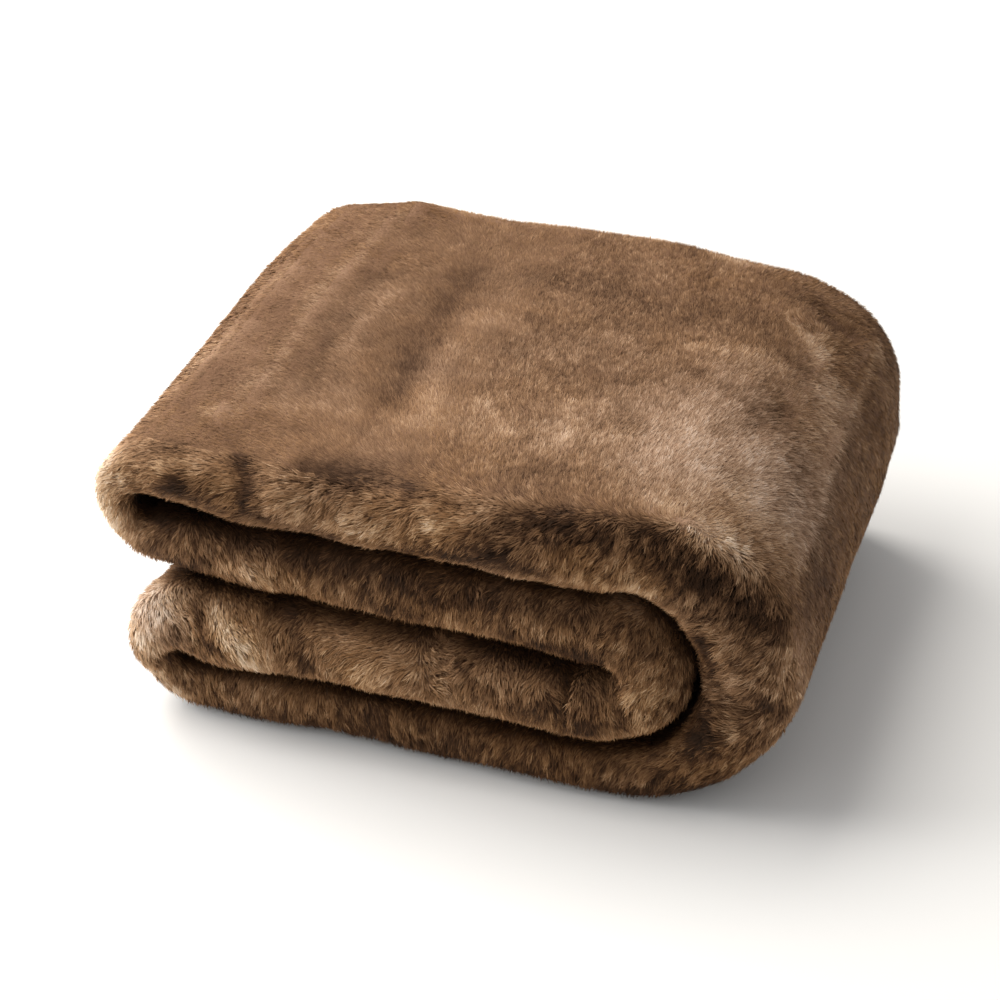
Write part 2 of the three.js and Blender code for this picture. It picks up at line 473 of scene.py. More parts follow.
@dataclass
class FoldedCloth:
    """One sheet, folded in four along its length and then across into a pack of four layers."""

    plies: int = 4
    ply_gap: float = 1.0
    strip_depth: float = 389.0
    back_zone: float = 22.0
    upper_edge_setback: float = 5.0
    lower_edge_setback: float = 14.0
    edge_bevel: float = 2.0
    edge_bevel_most: float = 0.6
    layer_gap: float = 3.0
    strip_start: float = 118.0
    strip_end: float = 122.0
    nose_turn: float = 138.0
    spine_turn: float = 153.0
    spine_reach: float = 81.5
    spine_swell: float = 22.0
    spine_peak: float = 0.57
    swell_power: float = 1.5
    fold_squareness: float = 0.87
    upper_pinch: float = -30.0
    lower_pinch: float = -25.0
    overhang_depth: float = 200.0
    overhang_fade: tuple[float, float] = (110.0, 240.0)
    level_height: float = 40.0
    pile_depth: float = 3.0
    least_half: float = 1.4
    floor_lift: float = 0.4
    layers: dict[Level, Layer] = field(
        default_factory=lambda: {
            Level.BASE: Layer(46, 5, -156),
            Level.THIRD: Layer(65, 19, -156),
            Level.SECOND: Layer(54, 9, -173),
            Level.TOP: Layer(55, 14, -173),
        }
    )
    pushes: tuple[Push, ...] = (
        Push((-215, 392, 150), 95, (4, -21, -3)),
        Push((240, 392, 120), 100, (-2, -13, -3)),
        Push((235, -10, 45), 80, (-1, 3, 0)),
        Push((250, 215, 150), 80, (-3, 0, 0)),
        Push((240, 340, 185), 60, (4, 0, 0)),
        Push((268, 365, 120), 50, (-5, -2, 0)),
        Push((-80, 230, 229), 110, (0, 0, 3)),
        Push((120, 90, 229), 90, (0, 0, 4)),
        Push((-60, 385, 229), 120, (0, -1, -6)),
        Push((-205, 380, 222), 55, (0, -6, -3)),
        Push((165, 385, 224), 80, (0, -4, -7)),
        Push((-120, 375, 229), 38, (0, 0, 5)),
        Push((-100, -10, 195), 75, (0, -4, -6)),
        Push((60, -10, 200), 60, (0, -4, 1)),
        Push((135, 10, 112), 85, (0, -2, -7)),
        Push((10, -5, 168), 65, (0, 0, -5)),
        Push((100, -5, 170), 60, (0, 0, -5)),
        Push((185, -5, 162), 48, (-4, 0, -4)),
        Push((-110, -18, 80), 60, (0, -4, 0)),
        Push((-66, 0, 5), 45, (0, 4, 0)),
        Push((-220, 290, 170), 100, (-6, 0, -3)),
        Push((-203, -12, 142), 38, (3, 0, 0)),
        Push((-210, 0, 195), 38, (-4, 0, 0)),
        Push((-165, -12, 178), 32, (0, 0, 5)),
        Push((-168, -10, 116), 34, (0, 0, 6)),
        Push((-190, -2, 104), 32, (-7, 0, 3)),
        Push((-175, -10, 48), 32, (0, 0, 3)),
        Push((85, -10, 112), 45, (0, 0, 6)),
    )
    creases: tuple[Crease, ...] = (
        Crease(LEFT_RIDGE, 10, (0, 0, 2.2)),
        Crease(((-131, 150, 228), (-136, 44, 228), (-128, -80, 228)), 12, (0, 0, -1.0)),
        Crease(((-112, 46, 229), (-118, -10, 229), (-116, -39, 229)), 8, (0, 0, 1.2)),
        Crease(DARK_BAND, 17, (0, 0, -2.8)),
        Crease(((-37, 34, 229), (-52, -52, 229), (-41, -110, 228)), 16, (0, 0, 1.0)),
        Crease(((107, 40, 228), (131, 27, 228), (162, 18, 223)), 10, (0, 0, 1.4)),
        Crease(((174, -36, 220), (180, -9, 216), (187, 12, 212)), 9, (-0.8, 0, -3.0)),
        Crease(((187, 136, 207), (200, 136, 201)), 9, (-1.8, 0, -3.0)),
        Crease(((169, 112, 218), (183, 118, 211)), 8, (0.6, 0, 1.6)),
        Crease(SPINE_RIDGE, 7, (1.3, 0, 1.1)),
        Crease(((213, -60, 188), (216, -120, 183)), 8, (-1.4, 0, -1.4)),
        Crease(FRONT_HOLLOW, 10, (0, 2.6, -2.2)),
        Crease(CORNER_HOLLOW, 13, (-0.8, 3.0, -1.6)),
        Crease(((-88, -176, 224), (-32, -181, 224)), 11, (0, 1.6, -2.2)),
        Crease(((-37, -185, 222), (-9, -185, 224), (20, -190, 221)), 5, (0, 1.0, -1.2)),
        Crease(((-127, -192, 216), (-129, -198, 207), (-130, -200, 194)), 9, (0, 4.0, -1.2)),
        Crease(((-219, -189, 178), (-203, -182, 167)), 9, (1.2, 3.0, 0)),
        Crease(((-193, -197, 211), (-159, -200, 198)), 9, (0, -1.8, 0)),
        Crease(((-113, -195, 213), (-89, -200, 194)), 11, (0, -2.0, 0)),
        Crease(((-52, -197, 206), (50, -200, 201)), 9, (0, -1.6, 0)),
        Crease(((-26, -199, 196), (-24, -190, 176)), 10, (0, 2.4, 0)),
        Crease(((77, -199, 196), (131, -192, 189)), 8, (0, -2.0, 0)),
        Crease(((193, -182, 140), (207, -182, 116), (220, -179, 112)), 9, (0.4, -3.0, 0)),
        Crease(((193, -181, 98), (224, -176, 100)), 6, (0, 5.0, -1.5)),
        Crease(((185, -181, 60), (199, -181, 76)), 12, (0, -3.5, 0)),
        Crease(((-135, -195, 143), (-118, -194, 133)), 8, (0, -2.8, 0)),
        Crease(((-89, -189, 158), (-28, -192, 146)), 13, (0, 2.2, -1.0)),
        Crease(((-48, -196, 140), (-42, -190, 128)), 9, (0, 2.0, 0)),
        Crease(((6, -191, 153), (111, -188, 151)), 10, (0, 1.8, -1.0)),
        Crease(((65, -193, 149), (78, -194, 139)), 9, (0, -2.0, 0)),
        Crease(((-215, -188, 99), (-190, -204, 84)), 10, (-0.6, -2.0, 0)),
        Crease(((-177, -198, 100), (-169, -204, 80)), 8, (0, 2.4, 0)),
        Crease(((-150, -202, 88), (-133, -204, 74)), 9, (0, -3.2, 0)),
        Crease(((-161, -199, 194), (-134, -196, 181), (-91, -198, 181)), 12, (0, 1.5, 2.6)),
        Crease(((-190, -191, 128), (-138, -193, 125), (-96, -191, 121)), 12, (0, 1.5, 2.8)),
        Crease(((-165, -200, 62), (-130, -202, 60)), 12, (0, -1.2, -3.2)),
        Crease(((-190, -183, 112), (-138, -184, 111), (-96, -184, 110)), 12, (0, -1.0, 2.4)),
        Crease(((-111, -190, 106), (-98, -202, 90)), 12, (0, 3.8, -1.0)),
        Crease(((-4, -196, 98), (9, -198, 86)), 7, (0, 2.8, -0.8)),
        Crease(((36, -198, 96), (88, -199, 92)), 9, (0, -1.6, 0)),
        Crease(((88, -190, 98), (93, -204, 70)), 5, (0, 2.8, 0)),
        Crease(((120, -189, 104), (125, -190, 100)), 6, (0, 4.0, 0)),
        Crease(((134, -193, 99), (149, -187, 84)), 9, (0.5, -2.0, 0)),
        Crease(((-212, -191, 43), (-202, -188, 27)), 9, (0, -2.0, 0)),
        Crease(((-63, -190, 34), (-43, -190, 14)), 14, (0, 1.6, 0)),
    )
    relief: tuple[tuple[float, float], ...] = ((26.0, 0.9), (10.0, 0.5))
    front_relief: float = 2.2
    name: str = "folded_fur_cloth"

    def middle_height(self, level: Level) -> float:
        """The height of a layer's middle in the true pack.

        Args:
            level: The layer.

        Returns:
            Its height above the floor.
        """
        lower = [self.layers[below].thick for below in Level if below.value < level.value]
        return sum(thick + self.layer_gap for thick in lower) + self.layers[level].thick / 2

    def run(self, level: Level, start: float, end: float, fine: Fineness) -> Array:
        """A straight run of the strip's middle line.

        Args:
            level: The layer that the run lies in.
            start: X where it starts.
            end: X where it ends.
            fine: How finely it is stepped.

        Returns:
            A row for each station: X, Z, the normal's X and Z, and the strip's thickness.
        """
        steps = max(1, round(abs(end - start) / fine.run_step))
        x = np.linspace(start, end, steps + 1)
        one = np.ones_like(x)
        thick = self.layers[level].thick
        return np.stack(
            [x, one * self.middle_height(level), 0 * one, one * np.sign(end - start), one * thick],
            axis=1,
        )

    def turn(
        self,
        start: Level,
        end: Level,
        x: float,
        reach: float,
        side: int,
        swell: float,
        steps: int,
        peak: float = 0.5,
    ) -> Array:
        """A half turn of the middle line from one layer to another, without its two ends.

        Args:
            start: The layer that it leaves.
            end: The layer that it reaches.
            x: X of its middle.
            reach: How far it goes out from there.
            side: -1 at the left and 1 at the right.
            swell: How much thicker the strip gets on its way round, or thinner.
            steps: The number of steps round.
            peak: The share of the turn where it does so most.

        Returns:
            Rows as run gives them.
        """
        low, high = self.middle_height(start), self.middle_height(end)
        rise = (high - low) / 2
        share = np.linspace(0, 1, steps + 1)[1:-1]
        lean = math.log(0.5) / math.log(peak)
        angle = (share - 0.5) * math.pi
        normal = unit(np.stack([-rise * np.cos(angle), -side * reach * np.sin(angle)], axis=1))
        thick = self.layers[start].thick * (1 - share) + self.layers[end].thick * share
        return np.stack(
            [
                x + side * reach * np.cos(angle),
                (low + high) / 2 + rise * np.sin(angle),
                normal[:, 0],
                normal[:, 1],
                thick + swell * np.sin(share**lean * math.pi) ** self.swell_power,
            ],
            axis=1,
        )

    def round_turn(
        self, start: Level, end: Level, x: float, side: int, pinch: float, steps: int
    ) -> Array:
        """A turn whose reach is half the height between its layers, pinched halfway round.

        Args:
            start: The layer that it leaves.
            end: The layer that it reaches.
            x: X of its middle.
            side: -1 at the left and 1 at the right.
            pinch: How much thicker the strip gets on its way round, below 0 where thinner.
            steps: The number of steps round.

        Returns:
            Rows as run gives them.
        """
        reach = abs(self.middle_height(end) - self.middle_height(start)) / 2
        return self.turn(start, end, x, reach, side, pinch, steps)

    def middle_line(self, fine: Fineness) -> Array:
        """The strip's middle line, from its start inside the pack to the end of its nose.

        Args:
            fine: How finely it is stepped.

        Returns:
            Rows as run gives them.
        """
        base, third, second, top = Level.BASE, Level.THIRD, Level.SECOND, Level.TOP
        left = {level: layer.left for level, layer in self.layers.items()}
        spine = self.turn(
            base,
            top,
            self.spine_turn,
            self.spine_reach,
            1,
            self.spine_swell,
            fine.spine_steps,
            self.spine_peak,
        )
        return np.concatenate(
            [
                self.run(third, self.strip_start, left[third], fine),
                self.round_turn(third, base, left[base], -1, self.lower_pinch, fine.turn_steps),
                self.run(base, left[base], self.spine_turn, fine),
                spine,
                self.run(top, self.spine_turn, left[top], fine),
                self.round_turn(top, second, left[second], -1, self.upper_pinch, fine.turn_steps),
                self.run(second, left[second], self.nose_turn, fine),
                self.round_turn(second, third, self.nose_turn, 1, 0.0, fine.turn_steps),
                self.run(third, self.nose_turn, self.strip_end, fine),
            ]
        )

    def section(self, thick: float, inset: float, fine: Fineness) -> Array:
        """The strip's section: one sheet folded in four, given along the sheet in pairs.

        Args:
            thick: The strip's thickness.
            inset: How far both faces lie below the pile's surface.
            fine: How finely it is stepped.

        Returns:
            For each place along the sheet, the pile face's point and the other face's
            point, each a depth from the front and a height from the middle line.
        """
        pitch = thick / self.plies
        full = (pitch - self.ply_gap) / 2
        half = max(full - inset, min(full, self.least_half))
        front, outer, inner = thick / 2, 1.5 * pitch, 0.5 * pitch
        pairs: list[Array] = []

        def leg(height: float, pile_side: int, forwards: bool, steps: int) -> None:
            """Adds a straight ply.

            Args:
                height: Its middle's height.
                pile_side: 1 where the pile faces up, and -1 where it faces down.
                forwards: Whether it is given from the back to the front.
                steps: The number of steps along it.
            """
            depth = np.linspace(front, self.strip_depth - self.back_zone, steps + 1)[1:]
            depth = depth[::-1] if forwards else depth
            faces = (pile_side * half, -pile_side * half)
            rows = [np.stack([depth, height + face + 0 * depth], axis=1) for face in faces]
            pairs.append(np.stack(rows, axis=1))

        def bend(
            depth: float,
            height: float,
            radius: float,
            bulge: int,
            side: int,
            pile_out: int,
            power: float,
            steps: int,
        ) -> None:
            """Adds a fold, half way round.

            Args:
                depth: Its middle's depth.
                height: Its middle's height.
                radius: The radius of the sheet's middle.
                bulge: -1 where it bulges to the front, and 1 where to the back.
                side: 1 where it is given from its upper end down, and -1 from below.
                pile_out: 1 where the pile is outside, and -1 where inside.
                power: 1 for a round fold, and less for a squarer one.
                steps: The number of steps round it.
            """
            turn = np.linspace(0, math.pi, steps + 1)
            rise, fall = np.maximum(np.sin(turn), 0.0), np.cos(turn)
            fall = np.sign(fall) * np.abs(fall) ** power
            out = np.stack([bulge * rise**power, side * fall], axis=1)
            middle = np.array([depth, height])
            faces = [middle + (radius + s * pile_out * half) * out for s in (1, -1)]
            pairs.append(np.stack(faces, axis=1))

        def edge(height: float, setback: float, pile_side: int, inwards: bool) -> None:
            """Adds a free edge with its two corners taken off.

            Args:
                height: Its middle's height.
                setback: How far it stays behind the back folds.
                pile_side: 1 where the pile faces up, and -1 where it faces down.
                inwards: Whether it is given from the edge inwards.
            """
            bevel = min(self.edge_bevel, self.edge_bevel_most * half)
            rows = []
            for depth, reach in (
                (self.strip_depth - setback - inset, half - bevel),
                (self.strip_depth - setback - inset - bevel, half),
            ):
                rows.append([[depth, height + s * pile_side * reach] for s in (1, -1)])
            pairs.append(np.array(rows if inwards else rows[::-1]))

        edge(outer, self.upper_edge_setback, 1, True)
        leg(outer, 1, True, fine.outer_leg_steps)
        bend(front, 0, outer, -1, 1, 1, self.fold_squareness, fine.front_fold_steps)
        leg(-outer, -1, False, fine.outer_leg_steps)
        back = self.strip_depth - inner - full
        bend(back, -pitch, inner, 1, -1, 1, 1.0, fine.back_fold_steps)
        leg(-inner, 1, True, fine.inner_leg_steps)
        bend(front, 0, inner, -1, -1, -1, 1.0, fine.inner_fold_steps)
        leg(inner, -1, False, fine.inner_leg_steps)
        edge(inner, self.lower_edge_setback, -1, False)
        return np.concatenate(pairs)

    def overhang_at(self, z: Array) -> Array:
        """How far the layer at a height stands forward of the spine.

        Args:
            z: Heights in the true pack.

        Returns:
            A distance for each height.
        """
        levels = list(Level)
        forward = np.full(z.shape, float(self.layers[Level.BASE].forward))
        for lower, upper in zip(levels, levels[1:]):
            step = self.layers[upper].forward - self.layers[lower].forward
            forward += step * smoothstep(z, self.middle_height(lower), self.middle_height(upper))
        return forward

    def settle(self, points: Array) -> Array:
        """Moves points of the true pack to where the settled cloth has them.

        Args:
            points: Points of the true pack.

        Returns:
            The moved points.
        """
        x, y, z = points.T
        along = 1 - smoothstep(x, *self.overhang_fade)
        deep = 1 - smoothstep(y, 0.0, self.overhang_depth)
        level = smoothstep(z, self.ply_gap, self.level_height)
        moved = points.copy()
        moved[:, 1] -= self.overhang_at(z) * along * deep
        for push in self.pushes:
            away = np.linalg.norm(points - np.array(push.at), axis=1) / push.reach
            fade = np.exp(-away * away)
            moved[:, :2] += fade[:, None] * np.array(push.move[:2])
            moved[:, 2] += fade * push.move[2] * level
        return moved

    def surface(self, inset: float, fine: Fineness) -> tuple[Array, Array]:
        """The settled sheet as one closed surface, in the pack's own axes.

        Args:
            inset: How far the faces lie below the pile's surface.
            fine: How finely it is stepped.

        Returns:
            The points, and the four-cornered faces.
        """
        stations = self.middle_line(fine)
        rings = []
        for x, z, normal_x, normal_z, thick in stations:
            pairs = self.section(thick, inset, fine)
            outline = np.concatenate([pairs[:, 0], pairs[::-1, 1]])
            depth, height = outline.T
            rings.append(np.stack([x + normal_x * height, depth, z + normal_z * height], axis=1))
        around = len(rings[0])
        ring, step = np.meshgrid(np.arange(len(rings) - 1), np.arange(around), indexing="ij")
        after = (step + 1) % around
        corners = [ring * around + step, ring * around + after]
        corners += [(ring + 1) * around + after, (ring + 1) * around + step]
        faces = [np.stack([c.ravel() for c in corners], axis=1)]
        side = np.arange(around // 2 - 1)
        cap = np.stack([side, around - 1 - side, around - 2 - side, side + 1], axis=1)
        last = (len(rings) - 1) * around
        faces += [cap, cap[:, ::-1] + last]
        return self.settle(np.concatenate(rings)), np.concatenate(faces)

    def uneven(self, points: Array, normals: Array) -> Array:
        """How far soft, irregular relief moves each point, more at the front.

        Args:
            points: The sheet's points.
            normals: The unit normals there.

        Returns:
            A move for each point.
        """
        height = np.zeros(len(points))
        for salt, (cell, rise) in enumerate(self.relief, start=51):
            height += rise * soft_noise(points, cell, salt)[:, 0]
        front = smoothstep(-normals[:, 1], 0.1, 0.6)
        return normals * (height * (1 + (self.front_relief - 1) * front))[:, None]

    def build(self, groom: "Groom") -> tuple[bpy.types.Object, "Surface"]:
        """Builds the sheet a little inside the pile's surface.

        Args:
            groom: The pile's groom, whose tones, painted light and shade among them, the bed under the
                pile takes too.

        Returns:
            The piece, and the surface that the pile grows on.
        """
        fine = Fineness()
        outside, _ = self.surface(0.0, fine)
        low, high = outside.min(axis=0), outside.max(axis=0)
        middle = np.array([(low[0] + high[0]) / 2, (low[1] + high[1]) / 2, low[2]])
        points, faces = self.surface(self.pile_depth, fine)
        points = points - middle
        moved = points + self.uneven(points, Surface.normals_of(points, faces))
        for crease in self.creases:
            moved += nearness(points, crease.line, crease.width)[:, None] * np.array(crease.move)
        moved[:, 2] = np.maximum(moved[:, 2], self.floor_lift)
        piece = mesh_object(self.name, moved, faces)
        finish = UnderfurFinish()
        piece.data.materials.append(finish.make())
        surface = Surface(moved, faces)
        shade = piece.data.attributes.new(finish.shade_name, "FLOAT", "POINT")
        # The bed takes the pile's tones, with their painted highlights and painted shade
        bed = groom.toned(moved, surface.open).clip(0.0, 1.0)
        shade.data.foreach_set("value", bed.astype(np.float32))
        return piece, surface


class Surface:
    """The cloth's surface as triangles, with its normals and how open each point lies."""

    ray_start: float = 1.2
    ray_reach: float = 70.0
    ray_spread: float = 0.97
    rays: int = 24

    def __init__(self, points: Array, quads: Array) -> None:
        """Halves the faces and works out areas and normals.

        Args:
            points: Vertices in millimetres.
            quads: Four-cornered faces.
        """
        self.points = points
        self.triangles = np.concatenate([quads[:, [0, 1, 2]], quads[:, [0, 2, 3]]])
        a, b, c = (self.points[self.triangles[:, i]] for i in range(3))
        self.areas = np.linalg.norm(np.cross(b - a, c - a), axis=1) / 2
        self.normals = self.normals_of(points, quads)
        self.open = self.openness()

    @staticmethod
    def normals_of(points: Array, quads: Array) -> Array:
        """The unit normal at each vertex, from the faces round it.

        Args:
            points: The vertices.
            quads: Four-cornered faces.

        Returns:
            A unit normal for each vertex.
        """
        a, b, c, d = (points[quads[:, corner]] for corner in range(4))
        cross = np.cross(c - a, d - b)
        normals = np.zeros_like(points)
        for corner in range(4):
            np.add.at(normals, quads[:, corner], cross)
        return unit(normals)

    def openness(self) -> Array:
        """The share of directions over each point that see past the cloth and the floor.

        Returns:
            A share for each vertex.
        """
        tree = BVHTree.FromPolygons(self.points.tolist(), self.triangles.tolist())
        golden = math.pi * (3 - math.sqrt(5))
        turn = np.arange(self.rays) * golden
        height = np.sqrt(1 - (np.arange(self.rays) + 0.5) / self.rays * self.ray_spread)
        flat = np.sqrt(1 - height**2)
        local = np.stack([flat * np.cos(turn), flat * np.sin(turn), height], axis=1)
        normal = self.normals
        helper = np.where(np.abs(normal[:, 2:]) < 0.8, [[0.0, 0.0, 1.0]], [[1.0, 0.0, 0.0]])
        across = unit(np.cross(helper, normal))
        other = np.cross(normal, across)
        starts = self.points + normal * self.ray_start
        seen = np.zeros(len(normal))
        for x, y, z in local:
            ways = x * across + y * other + z * normal
            above = starts[:, 2] + ways[:, 2] * self.ray_reach > 0
            for point in np.flatnonzero(above):
                hit = tree.ray_cast(starts[point].tolist(), ways[point].tolist(), self.ray_reach)
                if hit[0] is None:
                    seen[point] += 1
        return seen / self.rays


# The pile

class Side(Enum):
    """The sides of the pack that the pile is grown on, each a piece of its own."""

    TOP_LEFT = "pile_top_left"
    TOP_RIGHT = "pile_top_right"
    FRONT_LEFT = "pile_front_left"
    FRONT_RIGHT = "pile_front_right"
    SPINE = "pile_spine"
    LEFT = "pile_left_turns"
    BACK = "pile_back"


@dataclass(frozen=True)
class Comb:
    """Which way the pile is brushed near a place, and how steeply it stands, in degrees."""

    at: Point
    reach: float
    way: Point
    lift: float = 30.0


@dataclass(frozen=True)
class Patch:
    """A stretch of pile along a line that differs from the rest by an amount."""

    line: Line
    width: float
    amount: float


@dataclass(frozen=True)
class Drift:
    """A slow random change over the pack: its cell in millimetres, its amount and its seed."""

    cell: float
    amount: float
    salt: int


@dataclass
class Groom:
    """How the whole pile is brushed and coloured, with painted light and shade in its tones.

    The places were picked in the photograph, or are spots where a render and the photograph
    differed in tone, and were carried onto the pack through the camera. The amounts were
    chosen from what was seen and from how much the two differed.

    Attributes:
        combs: Which way the pile lies.
        tones: Paler (above 0) and darker (below 0) patches: some the pile's own tone, many
            painted highlights on lit rims, lips and ridges, and painted shade in hollows,
            creases and under the layers above.
        leans: Patches that lean to ochre (above 0) or to a greyish beige (below 0).
        partings: Lines where the pile is ruffled, with the degrees that it stands up more.
    """

    combs: tuple[Comb, ...] = (
        Comb((-207, 60, 226), 34, (-0.55, -0.80, 0), 12),
        Comb((-210, -70, 224), 34, (-0.55, -0.80, 0), 12),
        Comb((-182, 100, 228), 42, (-0.94, -0.34, 0), 12),
        Comb((-182, 0, 228), 42, (-0.94, -0.34, 0), 12),
        Comb((-182, -100, 228), 42, (-0.94, -0.28, 0), 16),
        Comb((-163, 175, 222), 40, (-0.90, -0.10, 0), 14),
        Comb((-125, 120, 228), 44, (-0.75, 0.30, 0), 34),
        Comb((-118, 10, 229), 44, (-0.70, 0.20, 0), 46),
        Comb((-112, -90, 229), 44, (-0.70, 0.30, 0), 44),
        Comb((-150, -150, 226), 36, (-0.85, -0.20, 0), 26),
        Comb((-70, 20, 229), 36, (-0.60, 0.55, 0), 34),
        Comb((-60, -120, 229), 46, (-0.50, 0.80, 0), 36),
        Comb((-3, 0, 230), 70, (-0.28, 0.96, 0), 32),
        Comb((-3, 140, 226), 70, (-0.28, 0.96, 0), 26),
        Comb((60, -110, 230), 50, (-0.15, 0.98, 0), 36),
        Comb((80, 20, 229), 60, (-0.10, 0.99, 0), 30),
        Comb((90, 150, 224), 60, (-0.20, 0.97, 0), 26),
        Comb((125, -95, 228), 42, (0.20, 0.97, 0), 36),
        Comb((140, 20, 226), 40, (0.25, 0.95, 0), 30),
        Comb((160, -60, 224), 34, (0.40, 0.90, 0), 38),
        Comb((190, -110, 208), 32, (0.70, 0.55, -0.2), 38),
        Comb((174, 112, 217), 13, (-0.80, -0.30, 0), 50),
        Comb((192, 104, 208), 10, (0.60, 0.70, 0), 54),
        Comb((198, 140, 203), 12, (-0.50, 0.80, 0), 46),
        Comb((160, 80, 222), 24, (-0.35, 0.90, 0), 34),
        Comb((183, -10, 216), 20, (0.95, 0.20, -0.2), 34),
        Comb((208, 60, 198), 30, (0.75, 0.30, -0.5), 24),
        Comb((213, -60, 192), 26, (0.85, 0.15, -0.4), 34),
        Comb((234, 120, 150), 60, (0, 0.15, -1), 12),
        Comb((240, 20, 125), 70, (0, 0.05, -1), 12),
        Comb((236, -100, 130), 50, (0, -0.15, -1), 13),
        Comb((226, 40, 45), 60, (0, 0, -1), 14),
        Comb((-224, -186, 196), 26, (-0.75, 0, -0.65), 24),
        Comb((-180, -196, 205), 26, (-0.97, 0, -0.20), 28),
        Comb((-140, -198, 202), 26, (-0.90, 0, -0.40), 34),
        Comb((-98, -197, 204), 26, (-0.75, 0, -0.65), 38),
        Comb((-58, -186, 220), 28, (-0.60, -0.2, -0.55), 46),
        Comb((-25, -198, 204), 30, (-0.86, 0, -0.50), 30),
        Comb((40, -199, 202), 30, (-0.80, 0, -0.60), 30),
        Comb((90, -193, 214), 26, (-0.30, 0, -0.95), 50),
        Comb((95, -198, 194), 28, (-0.45, 0, -0.90), 34),
        Comb((137, -191, 190), 26, (-0.60, 0, -0.80), 34),
        Comb((180, -180, 196), 26, (-0.20, 0, -0.95), 48),
        Comb((175, -184, 166), 24, (-0.75, 0, -0.65), 34),
        Comb((200, -182, 142), 18, (-0.85, 0, -0.50), 32),
        Comb((198, -181, 116), 12, (-0.90, 0, -0.35), 32),
        Comb((220, -179, 116), 12, (-0.15, 0, -0.95), 36),
        Comb((197, -181, 84), 13, (-0.95, 0, 0.15), 26),
        Comb((212, -176, 60), 20, (-0.40, 0, -0.90), 26),
        Comb((186, -182, 40), 22, (-0.70, 0, -0.65), 30),
        Comb((-200, -184, 160), 28, (-0.30, 0, -0.90), 30),
        Comb((-165, -190, 150), 26, (0.30, 0, -0.95), 32),
        Comb((-124, -194, 140), 22, (0.55, 0, -0.85), 38),
        Comb((-70, -192, 142), 32, (-0.10, 0, -1), 32),
        Comb((17, -192, 142), 36, (0.05, 0, -1), 32),
        Comb((97, -192, 140), 32, (-0.15, 0, -1), 34),
        Comb((150, -182, 128), 22, (-0.45, 0, -0.90), 32),
        Comb((168, -168, 110), 18, (-0.65, 0, -0.70), 30),
        Comb((-206, -186, 98), 18, (0.10, 0, -0.95), 30),
        Comb((-180, -198, 92), 20, (0.60, 0, -0.80), 34),
        Comb((-141, -204, 82), 16, (0.80, 0, -0.60), 40),
        Comb((-103, -196, 96), 18, (-0.05, 0, -1), 44),
        Comb((-60, -190, 103), 22, (-0.98, 0, -0.10), 20),
        Comb((-33, -202, 82), 20, (-0.60, 0, -0.80), 36),
        Comb((2, -197, 94), 11, (0.80, 0, 0.30), 44),
        Comb((20, -192, 102), 10, (-0.50, 0, -0.80), 46),
        Comb((57, -199, 92), 24, (0.05, 0, -1), 36),
        Comb((117, -196, 86), 20, (0.40, 0, -0.90), 32),
        Comb((146, -190, 90), 14, (-0.70, 0, -0.60), 36),
        Comb((-190, -188, 34), 30, (0.40, 0, -0.9), 30),
        Comb((-83, -188, 28), 46, (0.10, 0, -1), 28),
        Comb((37, -190, 28), 46, (-0.05, 0, -1), 28),
        Comb((130, -190, 30), 34, (-0.35, 0, -0.95), 28),
        Comb((-246, -60, 172), 80, (0, -0.15, -1), 24),
        Comb((-246, 120, 172), 80, (0, 0.1, -1), 24),
        Comb((-236, -60, 52), 80, (0, -0.15, -1), 24),
        Comb((-236, 120, 52), 80, (0, 0.1, -1), 24),
        Comb((-150, 200, 190), 70, (0.1, 0, -1), 26),
        Comb((0, 205, 190), 80, (0, 0, -1), 26),
        Comb((150, 200, 180), 70, (0.15, 0, -1), 26),
        Comb((-150, 200, 100), 70, (0, 0, -1), 26),
        Comb((0, 205, 100), 80, (0.1, 0, -1), 26),
        Comb((150, 200, 100), 70, (0, 0, -1), 26),
        Comb((0, 205, 25), 120, (0, 0, -1), 26),
    )
